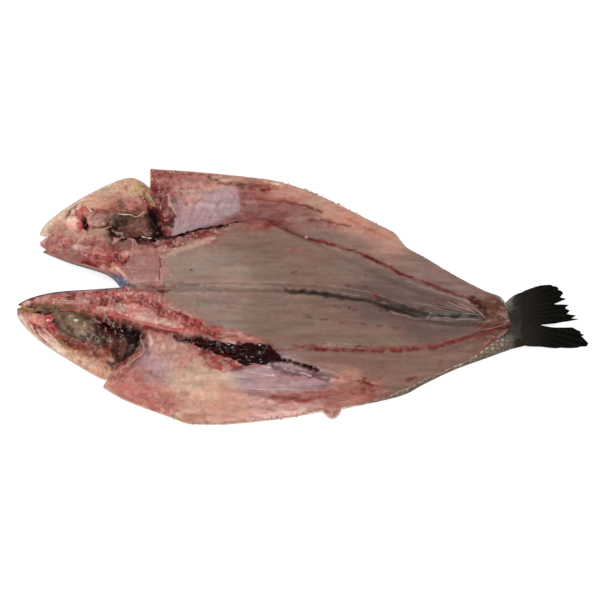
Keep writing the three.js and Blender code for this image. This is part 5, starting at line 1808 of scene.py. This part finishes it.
class FISH_OT_stage(bpy.types.Operator):
    """Adds the floor, the lights and the camera"""
    bl_idname = "fish.stage"
    bl_label = "Floor, Lights and Camera"

    def execute(self, context):
        look = context.scene.stage_look
        scene = context.scene
        scene.view_settings.view_transform = "Standard"
        reach, level = 4, -0.4 * MM
        mesh = bpy.data.meshes.new("floor")
        corners = [(x * reach, y * reach, level) for x, y in ((-1, -1), (1, -1), (1, 1), (-1, 1))]
        mesh.from_pydata(corners, [], [(0, 1, 2, 3)])
        material, tree, shader = nodes_of("pale floor")
        shader.inputs["Base Color"].default_value = (*(0.35 * channel for channel in look.floor), 1)
        shader.inputs["Roughness"].default_value = 0.9
        shader.inputs["Emission Color"].default_value = (*look.floor, 1)
        shader.inputs["Emission Strength"].default_value = look.glow
        mesh.materials.append(material)
        placed("floor", mesh)
        world = bpy.data.worlds.new("soft light")
        world.use_nodes = True
        tree = world.node_tree
        sky = tree.nodes["Background"]
        direction = node(tree, "ShaderNodeTexCoord").outputs["Generated"]
        height = node(tree, "ShaderNodeSeparateXYZ", Vector=direction).outputs["Z"]
        light = ranged(tree, height, From_Min=0.1, From_Max=0.75, To_Min=1, To_Max=0.2)
        tree.links.new(light, sky.inputs["Color"])
        sky.inputs["Strength"].default_value = look.sky
        scene.world = world
        for name, place, side, share in (
                ("key", (-0.6, 0.3, 1.25), 0.4, 0.8), ("fill", (0.8, 0.1, 1.25), 0.5, 0.4),
                ("front", (-0.1, -1.1, 1.1), 0.6, 0.75)):
            light = bpy.data.lights.new(name, "AREA")
            light.size = side
            light.energy = look.key * share
            towards = Vector((0, 0, 0.01)) - Vector(place)
            placed(name, light, location=place, rotation_euler=towards.to_track_quat("-Z", "Y").to_euler())
        lens = bpy.data.cameras.new("camera")
        lens.lens = look.focal
        lens.sensor_width = 36
        lens.clip_end = 20
        target = Vector((-0.00182, -0.0062, 0.008))
        flat, high = math.cos(look.elevation), math.sin(look.elevation)
        back = Vector((math.sin(look.azimuth) * flat, -math.cos(look.azimuth) * flat, high))
        turn = (-back).to_track_quat("-Z", "Y").to_euler()
        scene.camera = placed("camera", lens, location=target + back * look.distance, rotation_euler=turn)
        return {"FINISHED"}


class FISH_PT_panel(bpy.types.Panel):
    """Lists the pieces of the fish"""
    bl_idname = "FISH_PT_panel"
    bl_label = "Opened Fish"
    bl_space_type = "VIEW_3D"
    bl_region_type = "UI"
    bl_category = "Fish"

    def draw(self, context):
        for operator in OPERATORS:
            self.layout.operator(operator.bl_idname)


OPERATORS = (
    FISH_OT_flesh, FISH_OT_skin, FISH_OT_fin, FISH_OT_blood, FISH_OT_bones, FISH_OT_linings, FISH_OT_shreds,
    FISH_OT_stage)
GROUPS = {
    "fish_sizes": FishSizes, "flesh_colours": FleshColours, "skin_colours": SkinColours,
    "stage_look": StageLook,
}


def register():
    for group in GROUPS.values():
        bpy.utils.register_class(group)
    for name, group in GROUPS.items():
        setattr(bpy.types.Scene, name, PointerProperty(type=group))
    for operator in OPERATORS:
        bpy.utils.register_class(operator)
    bpy.utils.register_class(FISH_PT_panel)


def unregister():
    bpy.utils.unregister_class(FISH_PT_panel)
    for operator in reversed(OPERATORS):
        bpy.utils.unregister_class(operator)
    for name in GROUPS:
        delattr(bpy.types.Scene, name)
    for group in reversed(GROUPS.values()):
        bpy.utils.unregister_class(group)


def main():
    register()
    bpy.ops.fish.flesh()
    bpy.ops.fish.skin()
    bpy.ops.fish.fin()
    bpy.ops.fish.blood()
    bpy.ops.fish.bones()
    bpy.ops.fish.linings()
    bpy.ops.fish.shreds()
    bpy.ops.fish.stage()


if __name__ == "__main__":
    main()
